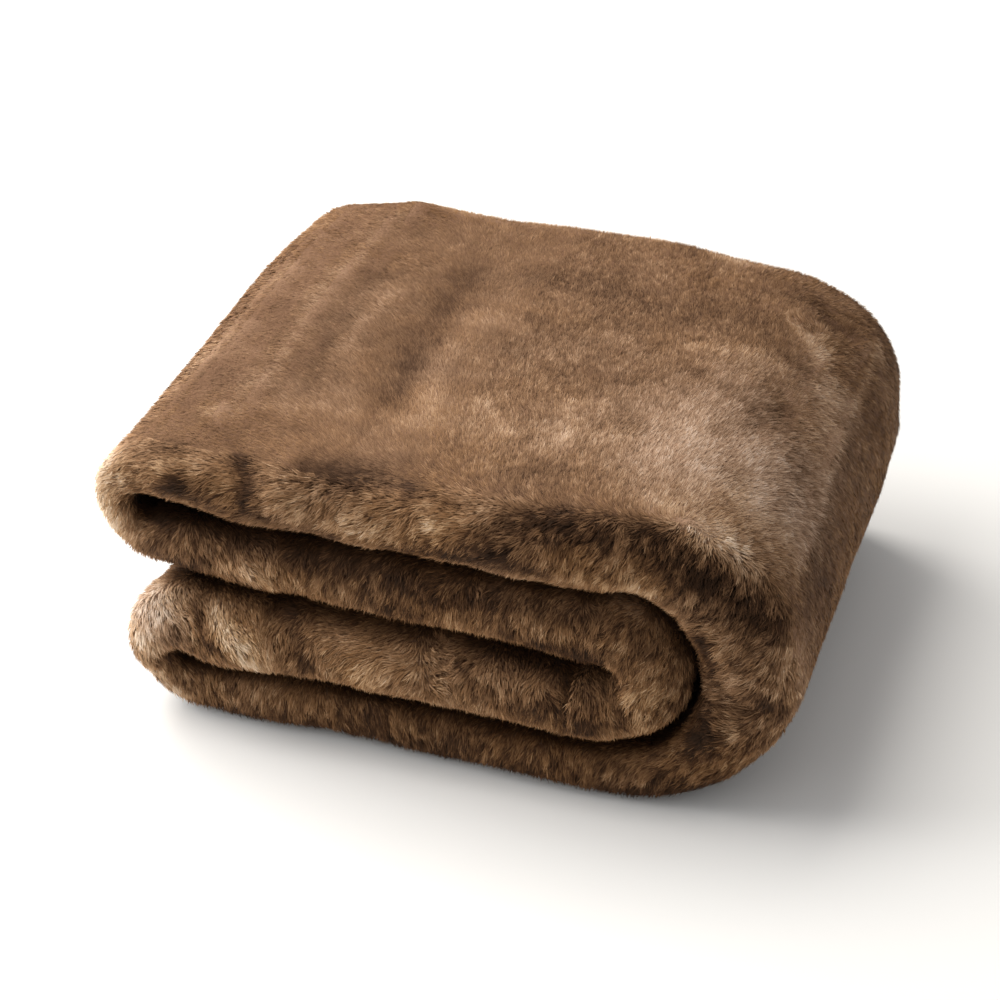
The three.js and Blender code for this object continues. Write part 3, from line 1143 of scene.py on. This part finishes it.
    tones: tuple[Patch, ...] = (
        # The top's left rim and its ridges with painted highlights, and the troughs and pressed band
        # beside them with painted shade
        Patch(((-199, 70, 226), (-207, 32, 226), (-204, -22, 228), (-216, -120, 222)), 7, 0.15),
        Patch(((-226, -44, 212), (-213, -68, 222)), 12, 0.12),
        Patch(LEFT_RIDGE, 6, 0.13),
        Patch(((-129, 150, 228), (-136, 44, 228), (-130, -80, 228)), 12, -0.08),
        Patch(((-112, 46, 229), (-118, -10, 229), (-116, -39, 229)), 6, 0.10),
        Patch(((-151, -7, 229), (-147, -5, 229)), 3.5, -0.24),
        Patch(DARK_BAND, 14, -0.19),
        Patch(((-37, 34, 229), (-52, -52, 229), (-41, -110, 228)), 13, 0.07),
        # Paler strokes toward the front, and a painted highlight on the roll's upper lip
        Patch(((-181, -140, 226), (-122, -116, 226), (-30, -114, 228)), 8, 0.08),
        Patch(((-42, -84, 228), (-12, -106, 228), (6, -118, 228)), 12, 0.12),
        Patch(((-7, -79, 229), (21, -109, 229)), 9, 0.18),
        Patch(((54, -94, 229), (111, -102, 230)), 18, 0.12),
        Patch(((38, -54, 229), (78, -60, 229)), 20, 0.09),
        Patch(((57, -64, 230), (63, -119, 229)), 8, 0.12),
        Patch(((48, -126, 229), (58, -104, 230)), 10, 0.16),
        Patch(((76, -130, 229), (84, -104, 229)), 8, 0.10),
        # The back edge with a painted highlight, and the darker field before it
        Patch(((-23, 120, 227), (57, 95, 227), (137, 90, 225)), 30, -0.07),
        Patch(((-133, 190, 222), (-23, 196, 221), (47, 196, 221)), 5, 0.20),
        Patch(((89, 186, 219), (125, 184, 217)), 6, 0.22),
        # The back right corner's tufts, with painted shade in the crease among them
        Patch(((161, 118, 221), (173, 96, 217), (191, 92, 210)), 9, 0.18),
        Patch(((188, 91, 211), (199, 61, 205)), 8, 0.10),
        Patch(((187, 136, 207), (200, 138, 201)), 6, -0.24),
        Patch(((157, 150, 217), (177, 146, 211)), 12, -0.10),
        Patch(((212, 164, 192), (223, 144, 180)), 5, 0.16),
        # The pale field on the right, and painted shade in the hollows in it
        Patch(((107, 40, 228), (141, 46, 227), (171, 39, 220)), 9, 0.14),
        Patch(((122, 0, 227), (147, -9, 227)), 12, -0.18),
        Patch(((167, -15, 223), (186, 7, 214)), 6, -0.16),
        Patch(((149, 0, 227), (168, 10, 222)), 6, -0.10),
        Patch(((126, -120, 228), (130, -60, 227), (151, 2, 226)), 34, 0.23),
        Patch(((156, -116, 225), (162, -132, 224), (172, -148, 219)), 14, 0.22),
        Patch(((136, -69, 229), (159, -103, 225), (181, -110, 217)), 15, 0.22),
        Patch(((177, -65, 219), (191, -99, 211), (194, -131, 209)), 15, 0.34),
        Patch(((133, -157, 228), (162, -164, 221), (193, -157, 208)), 11, 0.24),
        Patch(((187, -40, 214), (211, -91, 195), (216, -141, 190)), 12, 0.22),
        Patch(((174, -166, 217), (202, -166, 196)), 11, 0.20),
        # The spine, with painted highlights along its ridge and its shoulder
        Patch(((178, 109, 216), (197, 61, 207), (203, -30, 203)), 11, 0.14),
        Patch(SPINE_RIDGE, 4.5, 0.24),
        Patch(((205, 52, 200), (217, 75, 188)), 11, 0.14),
        Patch(((208, 60, 196), (213, -30, 190), (217, -110, 184)), 14, 0.20),
        Patch(((234, -128, 160), (238, -79, 149)), 11, -0.10),
        Patch(((230, -162, 132), (232, -152, 104)), 20, 0.20),
        # The top roll's left end: its rim with a painted highlight, a lock over a hollow with painted
        # shade, and painted shade on its underside
        Patch(((-186, -186, 222), (-177, -187, 221)), 8, -0.14),
        Patch(((-233, -185, 206), (-232, -195, 192), (-233, -192, 165)), 17, 0.47),
        Patch(((-186, -196, 212), (-177, -192, 217), (-161, -192, 217)), 5, 0.16),
        Patch(((-189, -199, 200), (-173, -198, 205), (-157, -200, 199)), 6, -0.20),
        Patch(((-176, -198, 200), (-161, -199, 192), (-134, -196, 181)), 8, -0.28),
        Patch(((-110, -198, 186), (-91, -198, 186), (-66, -196, 184)), 8, -0.28),
        Patch(((-219, -189, 178), (-210, -178, 168), (-193, -184, 168)), 9, -0.38),
        # The roll's middle: painted shade in a ruffled notch and soft hollows, its pale lower lip, and
        # painted shade under it
        Patch(((-135, -184, 222), (-126, -194, 214), (-124, -200, 196)), 8, -0.33),
        Patch(((-118, -194, 215), (-100, -198, 206), (-86, -199, 195)), 11, 0.06),
        Patch(((-46, -198, 203), (-30, -198, 203)), 10, 0.12),
        Patch(((-88, -177, 224), (-61, -181, 223), (-20, -182, 224)), 10, -0.32),
        Patch(((-62, -166, 225), (-42, -170, 225), (-26, -156, 227)), 10, -0.15),
        Patch(((46, -170, 228), (58, -169, 228)), 8, -0.14),
        Patch(((-37, -185, 222), (-9, -185, 224), (20, -190, 221)), 4, -0.12),
        Patch(((-69, -199, 193), (-35, -199, 198), (13, -199, 206)), 7, 0.13),
        Patch(((36, -200, 205), (50, -200, 201)), 8, -0.16),
        Patch(((6, -198, 209), (29, -194, 217), (53, -186, 224), (58, -167, 228)), 5, 0.13),
        Patch(((-30, -193, 180), (13, -199, 188), (54, -201, 194), (77, -199, 190)), 8, -0.28),
        # The deep parting below the right corner, with painted shade in its hollows
        Patch(FRONT_HOLLOW, 12, -0.28),
        Patch(((83, -188, 222), (109, -185, 222), (139, -178, 224)), 13, -0.14),
        Patch(CORNER_HOLLOW, 14, -0.22),
        Patch(((167, -182, 206), (192, -177, 196), (214, -172, 178)), 14, -0.12),
        Patch(((83, -198, 189), (112, -195, 191), (137, -190, 183)), 6, 0.10),
        Patch(((106, -195, 209), (117, -194, 208)), 10, 0.12),
        Patch(((160, -186, 176), (171, -185, 168)), 8, -0.16),
        Patch(((132, -192, 193), (160, -187, 179), (171, -184, 164), (197, -183, 149)), 8, 0.17),
        # The outer turn on the right, around the nose, with painted shade in its creases and in the
        # crevice beside it
        Patch(((193, -182, 140), (207, -182, 114), (220, -179, 112)), 8, 0.16),
        Patch(((196, -181, 109), (207, -182, 111)), 7, -0.14),
        Patch(((197, -181, 99), (224, -176, 99)), 5, -0.32),
        Patch(((219, -180, 116), (228, -177, 107)), 8, -0.16),
        Patch(((214, -181, 111), (226, -177, 106)), 6, -0.22),
        Patch(((188, -181, 84), (203, -180, 78)), 7, 0.10),
        Patch(((177, -184, 163), (187, -181, 132), (187, -180, 99), (180, -181, 66)), 8, -0.24),
        Patch(((180, -174, 92), (189, -181, 71), (173, -182, 55)), 10, -0.20),
        Patch(((165, -182, 47), (182, -182, 53)), 12, 0.18),
        Patch(((186, -182, 140), (194, -182, 130)), 9, -0.16),
        Patch(((173, -182, 55), (150, -184, 36)), 9, -0.12),
        # The second layer, shaded by the roll above it
        Patch(UNDER_TOP, 11, -0.22),
        Patch(((120, -175, 161), (132, -175, 158)), 10, 0.18),
        Patch(((-135, -195, 143), (-118, -194, 133)), 7, 0.20),
        Patch(((-148, -195, 145), (-123, -195, 144)), 8, 0.08),
        Patch(((11, -193, 135), (59, -194, 139), (106, -193, 137)), 8, 0.12),
        Patch(((-89, -189, 158), (-60, -190, 154), (-28, -192, 146)), 13, -0.12),
        Patch(((-24, -192, 150), (4, -193, 148), (32, -194, 144)), 12, -0.18),
        Patch(((-190, -191, 132), (-138, -193, 129), (-96, -191, 123)), 7, -0.20),
        Patch(((-38, -193, 136), (3, -193, 131)), 6, -0.26),
        Patch(((52, -193, 135), (86, -193, 131), (111, -189, 122)), 9, -0.34),
        Patch(((65, -193, 149), (78, -194, 139)), 6, 0.15),
        Patch(((124, -185, 152), (137, -185, 142), (150, -183, 128)), 8, -0.16),
        Patch(((-196, -192, 143), (-180, -193, 137)), 10, -0.20),
        # The nose
        Patch(((117, -189, 104), (124, -189, 102)), 5, -0.24),
        Patch(((144, -192, 106), (156, -188, 106)), 7, 0.20),
        Patch(((114, -192, 103), (122, -194, 95)), 7, -0.28),
        Patch(((138, -193, 95), (149, -187, 84)), 8, 0.08),
        # The third layer: painted shade under the layer above, painted light on its pale left end and a
        # pale wedge, and painted shade in a hollow, the dark column beside it
        Patch(UNDER_SECOND, 9, -0.11),
        Patch(((-200, -191, 106), (-208, -197, 92), (-214, -199, 67)), 15, 0.43),
        Patch(((-194, -200, 97), (-178, -201, 96), (-176, -204, 80)), 7, 0.20),
        Patch(((-174, -195, 105), (-159, -205, 84)), 6, -0.28),
        Patch(((-198, -200, 74), (-178, -204, 76)), 6, -0.22),
        Patch(((-158, -196, 106), (-147, -203, 92), (-130, -205, 74)), 8, 0.42),
        Patch(((-128, -203, 88), (-118, -205, 79)), 10, 0.20),
        Patch(((-106, -183, 110), (-97, -197, 100), (-90, -204, 82)), 9, -0.30),
        Patch(((-76, -202, 82), (-40, -201, 79), (-3, -201, 80)), 8, 0.12),
        Patch(((13, -192, 104), (19, -194, 98)), 6, -0.22),
        Patch(((29, -200, 90), (42, -200, 90)), 10, -0.10),
        Patch(((46, -199, 96), (66, -199, 94)), 7, 0.10),
        Patch(((26, -181, 109), (70, -186, 106), (104, -193, 96)), 9, -0.16),
        Patch(((62, -203, 80), (84, -202, 82), (104, -200, 76)), 12, -0.27),
        Patch(((88, -190, 98), (93, -204, 70)), 3.5, -0.20),
        # The base: painted shade under the layer above and along its whole length, and painted light on
        # its left end
        Patch(((-208, -193, 57), (-181, -182, 46), (-160, -182, 45)), 6, -0.20),
        Patch(((-214, -188, 36), (-206, -191, 38), (-193, -187, 19)), 8, 0.22),
        Patch(((-215, -187, 34), (-211, -185, 26), (-188, -186, 16)), 11, 0.26),
        Patch(((-197, -189, 33), (-187, -188, 28)), 5, -0.14),
        Patch(((-160, -188, 34), (-125, -180, 40), (-101, -177, 44)), 13, 0.14),
        Patch(((-173, -190, 26), (167, -190, 26)), 26, -0.13),
    )
    leans: tuple[Patch, ...] = (
        Patch(((-228, 150, 200), (-228, -100, 200)), 30, 0.15),
        Patch(((-236, -185, 214), (-233, -190, 165)), 14, 0.15),
        Patch(((-143, 192, 222), (-103, 194, 222)), 14, 0.30),
        Patch(((132, -110, 228), (162, -40, 222), (193, -80, 205)), 42, -0.50),
        Patch(((-121, 60, 229), (-121, -90, 229)), 34, -0.16),
        Patch(((219, 60, 180), (223, -90, 172)), 14, -0.20),
        # The spine's shaded side leans to ochre, partly its own colour and partly painted warm shade
        Patch(((238, 120, 120), (238, -100, 90)), 50, 0.50),
        Patch(((-214, -188, 98), (-190, -204, 84)), 14, -0.34),
        Patch(((-150, 0, 229), (120, 0, 229)), 110, -0.20),
        Patch(((-200, -198, 200), (150, -198, 200)), 20, 0.20),
        Patch(((-140, -196, 130), (150, -196, 130)), 40, 0.30),
        Patch(((-160, -196, 50), (190, -190, 50)), 44, 0.34),
        Patch(((-63, -190, 103), (-33, -190, 103)), 14, -0.20),
    )
    partings: tuple[Patch, ...] = (
        Patch(((-130, -190, 218), (-43, -190, 221), (61, -192, 219), (144, -187, 213)), 11, 18),
        Patch(CORNER_HOLLOW, 12, 20),
        Patch(((7, -196, 98), (16, -196, 94)), 8, 16),
        Patch(((176, 108, 216), (197, 120, 206)), 13, 12),
    )
    base_tone: float = 0.50
    base_lean: float = 0.50
    # Painted shade for places deep between the layers, taken off the tone by how closed in they lie
    painted_crevice_shade: float = 0.28
    open_range: tuple[float, float] = (0.08, 0.92)
    tone_drifts: tuple[Drift, ...] = (Drift(34.0, 0.05, 21), Drift(12.0, 0.06, 22))
    lean_drifts: tuple[Drift, ...] = (Drift(48.0, 0.16, 23), Drift(9.0, 0.10, 24))
    way_drifts: tuple[Drift, ...] = (Drift(26.0, 0.30, 11), Drift(10.4, 0.15, 12))
    front_drift: Drift = Drift(13.0, 0.45, 13)
    front_range: tuple[float, float] = (0.1, 0.6)
    far_hold: float = 1e-4
    far_soften: float = 1e-3

    def brushed(self, points: Array, normals: Array) -> tuple[Array, Array]:
        """The pile's direction along the surface and its lift.

        Args:
            points: The roots.
            normals: The surface's normals there.

        Returns:
            Unit tangents, and angles above the surface in degrees.
        """
        total = np.zeros_like(points)
        lift = np.zeros(len(points))
        weights = np.full(len(points), 1e-9)
        for comb in self.combs:
            away = np.linalg.norm(points - np.array(comb.at), axis=1) / comb.reach
            weight = np.exp(-away * away) + self.far_hold / (self.far_soften + away**4)
            way = unit(np.array(comb.way))
            flat = way - (normals @ way)[:, None] * normals
            total += weight[:, None] * flat
            lift += weight * comb.lift
            weights += weight
        total = total / weights[:, None]
        for drift in self.way_drifts:
            total += drift.amount * soft_noise(points, drift.cell, drift.salt)
        front = smoothstep(-normals[:, 1], *self.front_range)[:, None]
        drift = self.front_drift
        total += drift.amount * front * soft_noise(points, drift.cell, drift.salt)
        total -= (total * normals).sum(axis=1, keepdims=True) * normals
        lift = lift / weights
        for parting in self.partings:
            lift += parting.amount * nearness(points, parting.line, parting.width)
        return unit(total), lift

    def toned(self, points: Array, open_share: Array) -> Array:
        """Each place's tone from 0 to 1, with painted shade where it lies deep between the layers.

        Args:
            points: Places on the cloth.
            open_share: How open each lies.

        Returns:
            A tone for each place.
        """
        tone = np.full(len(points), self.base_tone)
        for patch in self.tones:
            tone += patch.amount * nearness(points, patch.line, patch.width)
        for drift in self.tone_drifts:
            tone += drift.amount * soft_noise(points, drift.cell, drift.salt)[:, 0]
        # Painted shade: the less open a place lies, the darker its tone
        return tone - self.painted_crevice_shade * (1 - smoothstep(open_share, *self.open_range))

    def leaning(self, points: Array) -> Array:
        """Each place's lean, from 0, a greyish beige, to 1, ochre.

        Args:
            points: Places on the cloth.

        Returns:
            A lean for each place.
        """
        lean = np.full(len(points), self.base_lean)
        for patch in self.leans:
            lean += patch.amount * nearness(points, patch.line, patch.width)
        for drift in self.lean_drifts:
            lean += drift.amount * soft_noise(points, drift.cell, drift.salt)[:, 0]
        return lean


@dataclass(frozen=True)
class SidePlan:
    """How one side's pile grows.

    Attributes:
        density: Wisps to the square millimetre.
        length: A wisp's length.
        width: A wisp's width.
        tufted: From 0, an even pile, to 1, one that hangs in tufts.
        squeeze: A tuft is longer along an axis the smaller this is.
        lay: How steeply it stands, as a share of what the combs say.
        grain: How much its finest tufts differ.
        curved: Whether a wisp bends, with two triangles in place of one.
    """

    density: float
    length: float
    width: float
    tufted: float
    squeeze: Point
    lay: float = 1.0
    grain: float = 1.0
    curved: bool = False


@dataclass
class FurPile:
    """The pile: tapered wisps of fibre that grow out of the cloth."""

    groom: Groom = field(default_factory=Groom)
    seed: int = 7
    triangle_limit: int = 189_000
    open_least: float = 0.15
    root_depth: float = 0.8
    fine_cell: float = 2.4
    tuft_cell: float = 7.5
    fine_pull: float = 0.45
    tuft_pull: float = 0.38
    softness: tuple[float, float] = (0.90, 0.78)
    root_share: tuple[float, float] = (0.30, 0.46)
    tip_share: float = 0.10
    fine_tone: float = 0.13
    painted_fine_gap_shade: float = 0.08
    tuft_tone: float = 0.15
    painted_tuft_gap_shade: float = 0.18
    wisp_tone: float = 0.04
    wisp_lean: float = 0.05
    ruffle_range: tuple[float, float] = (36.0, 60.0)
    map_ends: tuple[float, float] = (0.06, 0.94)
    map_half_width: float = 0.004
    floor_gap: float = 0.25
    plans: dict[Side, SidePlan] = field(
        default_factory=lambda: {
            Side.TOP_LEFT: SidePlan(1.85, 6.0, 0.62, 0.20, (1.0, 0.5, 1.0), 0.65, 0.9),
            Side.TOP_RIGHT: SidePlan(1.85, 5.6, 0.62, 0.42, (1.0, 0.6, 1.0), 0.75, 1.7),
            Side.FRONT_LEFT: SidePlan(1.45, 7.6, 0.72, 1.0, (1.0, 1.0, 0.55), 1.0, 1.2, True),
            Side.FRONT_RIGHT: SidePlan(1.42, 7.6, 0.72, 1.0, (1.0, 1.0, 0.55), 1.0, 1.2, True),
            Side.SPINE: SidePlan(1.20, 5.8, 0.75, 0.65, (1.0, 1.0, 0.4), 1.0, 1.4),
            Side.LEFT: SidePlan(0.60, 6.5, 1.1, 0.5, (1.0, 1.0, 0.55)),
            Side.BACK: SidePlan(0.42, 6.5, 1.3, 0.5, (1.0, 1.0, 0.55)),
        }
    )

    def sides_of(self, centres: Array, normals: Array) -> Array:
        """Finds the side of the pack that each face of the cloth belongs to.

        Args:
            centres: The faces' centres.
            normals: Their unit normals.

        Returns:
            The number of the Side, for each face.
        """
        sides = {side: index for index, side in enumerate(Side)}
        x, y, z = centres.T
        out = np.where(x < -20, sides[Side.TOP_LEFT], sides[Side.TOP_RIGHT])
        out = np.where((normals[:, 2] < 0.72) & (z < 216), sides[Side.BACK], out)
        out = np.where((x > 150) & (normals[:, 0] > 0.55), sides[Side.SPINE], out)
        out = np.where((x < -150) & (normals[:, 0] < -0.4), sides[Side.LEFT], out)
        front = (y < -120) & (normals[:, 1] < -0.3)
        front |= (y < -120) & (z < 170) & (normals[:, 0] > -0.4) & (normals[:, 0] < 0.6)
        front_side = np.where(x < -20, sides[Side.FRONT_LEFT], sides[Side.FRONT_RIGHT])
        front &= ~((x > 228) & (normals[:, 0] > 0.8))
        return np.where(front, front_side, out)

    def roots(
        self, surface: Surface, side_index: int, wanted: tuple[float, float], rng: Any
    ) -> tuple[Array, ...]:
        """Spreads roots over one side.

        Args:
            surface: The cloth's surface.
            side_index: The side's number.
            wanted: Wisps to the square millimetre, and the most of them in all.
            rng: The random generator.

        Returns:
            The roots' points, normals and openness.
        """
        density, most = wanted
        triangles = surface.triangles
        centres = surface.points[triangles].mean(axis=1)
        normals = unit(surface.normals[triangles].mean(axis=1))
        open_share = surface.open[triangles].mean(axis=1)
        here = (self.sides_of(centres, normals) == side_index) & (open_share > self.open_least)
        edges = np.cumsum(surface.areas * here)
        count = int(min(edges[-1] * density, most))
        picks = (np.arange(count) + rng.random(count)) / count * edges[-1]
        chosen = np.minimum(np.searchsorted(edges, picks), len(edges) - 1)
        first, second = rng.random(count), rng.random(count)
        over = first + second > 1
        first, second = np.where(over, 1 - first, first), np.where(over, 1 - second, second)
        shares = np.stack([1 - first - second, first, second], axis=1)[:, :, None]
        corners = triangles[chosen]
        points = (surface.points[corners] * shares).sum(axis=1)
        normal = unit((surface.normals[corners] * shares).sum(axis=1))
        return points, normal, (surface.open[corners] * shares[..., 0]).sum(axis=1)

    def clumps(self, points: Array, cell: float, squeeze: Point, salt: int) -> tuple[Array, ...]:
        """Finds the tuft that each root belongs to.

        Args:
            points: The roots.
            cell: The tufts' spacing.
            squeeze: How much longer a tuft is along each axis.
            salt: Keeps the fine tufts apart from the coarse ones.

        Returns:
            The tufts' centres, a number from 0 to 1 for each, and how far inside its tuft
            each root lies, in millimetres.
        """
        scaled = points * np.array(squeeze) / cell
        base = np.floor(scaled) + LATTICE_SHIFT
        nearest = np.full(len(points), np.inf)
        second = np.full(len(points), np.inf)
        centres, home = scaled.copy(), base.copy()
        for corner in np.ndindex(3, 3, 3):
            cells = base + np.array(corner) - 1
            spots = cells - LATTICE_SHIFT + lattice_random(cells, salt)
            away = ((spots - scaled) ** 2).sum(axis=1)
            nearer = away < nearest
            second = np.where(nearer, nearest, np.minimum(second, away))
            nearest = np.where(nearer, away, nearest)
            centres = np.where(nearer[:, None], spots, centres)
            home = np.where(nearer[:, None], cells, home)
        number = lattice_random(home, salt + 1)[:, 0]
        inside = (np.sqrt(second) - np.sqrt(nearest)) * cell
        return centres * cell / np.array(squeeze), number, inside

    def wisps(self, surface: Surface, side: Side, index: int, scale: float) -> bpy.types.Object:
        """Grows one side's pile as a joined mesh.

        Args:
            surface: The cloth's surface.
            side: The side.
            index: The side's number.
            scale: The share of the wisps to grow.

        Returns:
            The piece.
        """
        plan = self.plans[side]
        rng = np.random.default_rng(self.seed + index)
        most = self.triangle_limit // (2 if plan.curved else 1)
        wanted = (plan.density * scale, most * scale)
        roots, normals, open_share = self.roots(surface, index, wanted, rng)
        count = len(roots)
        way, lift = self.groom.brushed(roots, normals)
        steep = smoothstep(1 - np.abs(normals[:, 2]), 0.1, 0.9) if plan.curved else 1.0
        ruffle = np.maximum(smoothstep(lift, *self.ruffle_range), plan.tufted * steep)
        lift = lift * plan.lay
        spread = rng.normal(0.0, 0.18, count) * (0.7 + 0.6 * ruffle)
        way = unit(way * np.cos(spread)[:, None] + np.cross(normals, way) * np.sin(spread)[:, None])
        across = np.cross(normals, way)

        length = plan.length * (1 + 0.2 * rng.normal(0.0, 1.0, count).clip(-1.8, 1.6))
        length *= 0.9 + 0.25 * ruffle
        start_lift = np.radians(lift + 14 * plan.lay + 7 * rng.normal(0.0, 1.0, count))
        end_lift = np.radians(0.5 * lift - 3 + 6 * rng.normal(0.0, 1.0, count))
        start = roots - normals * self.root_depth
        middle = start + (0.5 * length)[:, None] * (
            way * np.cos(start_lift)[:, None] + normals * np.sin(start_lift)[:, None]
        )
        tip = middle + (0.5 * length)[:, None] * (
            way * np.cos(end_lift)[:, None] + normals * np.sin(end_lift)[:, None]
        )

        fine, fine_number, fine_inside = self.clumps(roots, self.fine_cell, plan.squeeze, 31)
        tuft, tuft_number, tuft_inside = self.clumps(roots, self.tuft_cell, plan.squeeze, 41)
        vary = 0.6 + 0.8 * rng.random(count)
        for centre, pull in ((fine, self.fine_pull * vary), (tuft, self.tuft_pull * vary * ruffle)):
            shift = centre - roots
            shift -= (shift * normals).sum(axis=1, keepdims=True) * normals
            shift -= 0.7 * (shift * way).sum(axis=1, keepdims=True) * way
            middle += (0.4 * pull)[:, None] * shift
            tip += pull[:, None] * shift

        tone = self.groom.toned(roots, open_share)
        tone += self.fine_tone * plan.grain * (fine_number - 0.5) * (0.5 + 0.7 * ruffle)
        tone += self.tuft_tone * (tuft_number - 0.5) * (0.2 + ruffle)
        # Painted shade between tufts and fine clumps: wisps at their edges darker, those inside paler
        tone += self.painted_tuft_gap_shade * ruffle * (smoothstep(tuft_inside, 0.0, 3.0) - 0.7)
        tone += self.painted_fine_gap_shade * plan.grain * (smoothstep(fine_inside, 0.0, 1.0) - 0.6)
        tone += rng.normal(0.0, self.wisp_tone, count) * plan.grain
        lean = self.groom.leaning(roots) + rng.normal(0.0, self.wisp_lean, count)

        roll = rng.normal(0.0, 0.5, count).clip(-1.0, 1.0)
        rise = unit(np.cross(middle - start, across))
        sideways = across * np.cos(roll)[:, None] + rise * np.sin(roll)[:, None]
        half = plan.width / 2 * (0.7 + 0.6 * rng.random(count)) / math.sqrt(scale)
        ribs = sideways * half[:, None]
        if plan.curved:
            points = np.stack([start, middle - ribs, middle + ribs, tip], axis=1)
        else:
            points = np.stack([start - ribs, start + ribs, tip], axis=1)
        points[..., 2] = np.maximum(points[..., 2], self.floor_gap)
        normals = self.shading_normals(points, normals, ruffle)
        return self.joined(side.value, points, normals, (tone, lean, ruffle))

    def shading_normals(self, points: Array, normals: Array, ruffle: Array) -> Array:
        """Leans each wisp's shading normal from its own face to the cloth it grows on.

        Args:
            points: Each wisp's points.
            normals: The cloth's normals at the roots.
            ruffle: How ruffled each wisp stands.

        Returns:
            A unit normal for each wisp.
        """
        own = unit(np.cross(points[:, -1] - points[:, 0], points[:, -2] - points[:, -3]))
        own *= np.sign((own * normals).sum(axis=1, keepdims=True) + 1e-9)
        even, ruffled = self.softness
        softness = (even + (ruffled - even) * ruffle)[:, None]
        return unit(softness * normals + (1 - softness) * own)

    def joined(
        self, name: str, points: Array, normals: Array, looks: tuple[Array, ...]
    ) -> bpy.types.Object:
        """Joins wisps into one piece, with a map that holds each one's tone and lean.

        Args:
            name: The piece's name.
            points: Each wisp's points: 3, or 4 where it bends.
            normals: Each wisp's shading normal.
            looks: Each wisp's tone, lean and ruffle.

        Returns:
            The piece.
        """
        count, corners = points.shape[:2]
        tone, lean, ruffle = looks
        tone, lean = tone.clip(*self.map_ends), lean.clip(*self.map_ends)
        # The first two wisps take the map's ends, so that it spans the same range on every piece
        tone[:2], lean[:2] = self.map_ends, self.map_ends
        smooth_root, ruffled_root = self.root_share
        root = tone * (1 - smooth_root - (ruffled_root - smooth_root) * ruffle)
        end = tone + (1 - tone) * self.tip_share
        side = self.map_half_width
        if corners == 4:
            bends, along, steps = [[0, 1, 2], [1, 3, 2]], [root, tone, tone, end], [0, -side, side, 0]
        else:
            bends, along, steps = [[0, 2, 1]], [root, root, end], [-side, side, 0]
        first = np.arange(count)[:, None, None] * corners
        faces = (first + np.array(bends)).reshape(-1, 3)
        piece = mesh_object(name, points.reshape(-1, 3), faces)
        shading = piece.data.attributes.new("custom_normal", "FLOAT_VECTOR", "POINT")
        shading.data.foreach_set("vector", np.repeat(normals, corners, axis=0).astype(np.float32).ravel())
        layer = piece.data.uv_layers.new(name=FurPileFinish.map_name)
        place = np.stack([np.stack(along, axis=1), lean[:, None] + np.array(steps)], axis=-1)
        layer.uv.foreach_set("vector", place.reshape(-1, 2)[faces.ravel()].astype(np.float32).ravel())
        return piece

    def build(self, surface: Surface) -> list[bpy.types.Object]:
        """Grows the pile on every side and dresses it.

        Args:
            surface: The cloth's surface.

        Returns:
            The pieces.
        """
        finish = FurPileFinish().make()
        scale = 1.0
        pieces = []
        for index, side in enumerate(Side):
            piece = self.wisps(surface, side, index, scale)
            piece.data.materials.append(finish)
            log.info("%s: %d triangles", piece.name, len(piece.data.polygons))
            pieces.append(piece)
        return pieces


# The studio

@dataclass(frozen=True)
class Lamp:
    """A square soft lamp: its place and side in metres, its power in watts and its sRGB colour."""

    name: str
    place: Point
    side: float
    watts: float
    colour: int


@dataclass
class Studio:
    """A white paper floor, soft lamps and the camera at the photograph's angle."""

    floor_size: float = 14.0
    camera_place: Point = (0.49228, -1.54309, 1.1713)
    azimuth: float = 18.33
    elevation: float = 33.43
    lens: float = 97.2
    sensor: float = 36.0
    sky: int = 0xFFFFFF
    sky_strength: float = 0.45
    aim: Point = (0.0, 0.0, 0.1)
    lamps: tuple[Lamp, ...] = (
        Lamp("key lamp", (-1.35, 0.3, 2.15), 2.4, 84.0, 0xFFFBF5),
        Lamp("side lamp", (-2.1, -0.55, 0.8), 1.3, 37.0, 0xFFFFFF),
        Lamp("front lamp", (-1.3, -2.0, 1.1), 1.4, 3.0, 0xFFFFFF),
    )

    def hang(self, lamp: Lamp) -> None:
        """Hangs a lamp so that it faces the pack.

        Args:
            lamp: The lamp.
        """
        data = bpy.data.lights.new(lamp.name, "AREA")
        data.energy = lamp.watts
        data.size = lamp.side
        data.color = linear(lamp.colour)[:3]
        light = bpy.data.objects.new(lamp.name, data)
        light.location = lamp.place
        way = Vector(self.aim) - Vector(lamp.place)
        light.rotation_euler = way.to_track_quat("-Z", "Y").to_euler()
        bpy.context.scene.collection.objects.link(light)

    def build(self) -> None:
        """Lays the floor, hangs the lamps and sets the camera."""
        scene = bpy.context.scene
        bpy.ops.object.select_all(action="DESELECT")
        bpy.ops.mesh.primitive_plane_add(size=self.floor_size, location=(0.0, 0.0, 0.0))
        floor = bpy.context.active_object
        floor.name = "studio_floor"
        floor.data.materials.append(PaperFinish().make())

        world = bpy.data.worlds.new("studio")
        world.use_nodes = True
        background = world.node_tree.nodes["Background"]
        background.inputs["Color"].default_value = linear(self.sky)
        background.inputs["Strength"].default_value = self.sky_strength
        scene.world = world
        for lamp in self.lamps:
            self.hang(lamp)

        data = bpy.data.cameras.new("camera")
        data.lens = self.lens
        data.sensor_width = self.sensor
        camera = bpy.data.objects.new("camera", data)
        camera.location = self.camera_place
        camera.rotation_euler = (
            math.radians(90.0 - self.elevation),
            0.0,
            math.radians(self.azimuth),
        )
        scene.collection.objects.link(camera)
        scene.camera = camera
        scene.view_settings.view_transform = "Standard"


def main() -> None:
    """Builds the throw and the studio, and says what each piece is."""
    Studio().build()
    log.info("studio: floor, lamps and camera")
    groom = Groom()
    cloth, surface = FoldedCloth().build(groom)
    log.info("%s: %d faces", cloth.name, len(cloth.data.polygons))
    pile = FurPile(groom).build(surface)
    for piece in [cloth, *pile]:
        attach(piece, BODY)
    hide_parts(NODE)


if __name__ == "__main__":
    main()
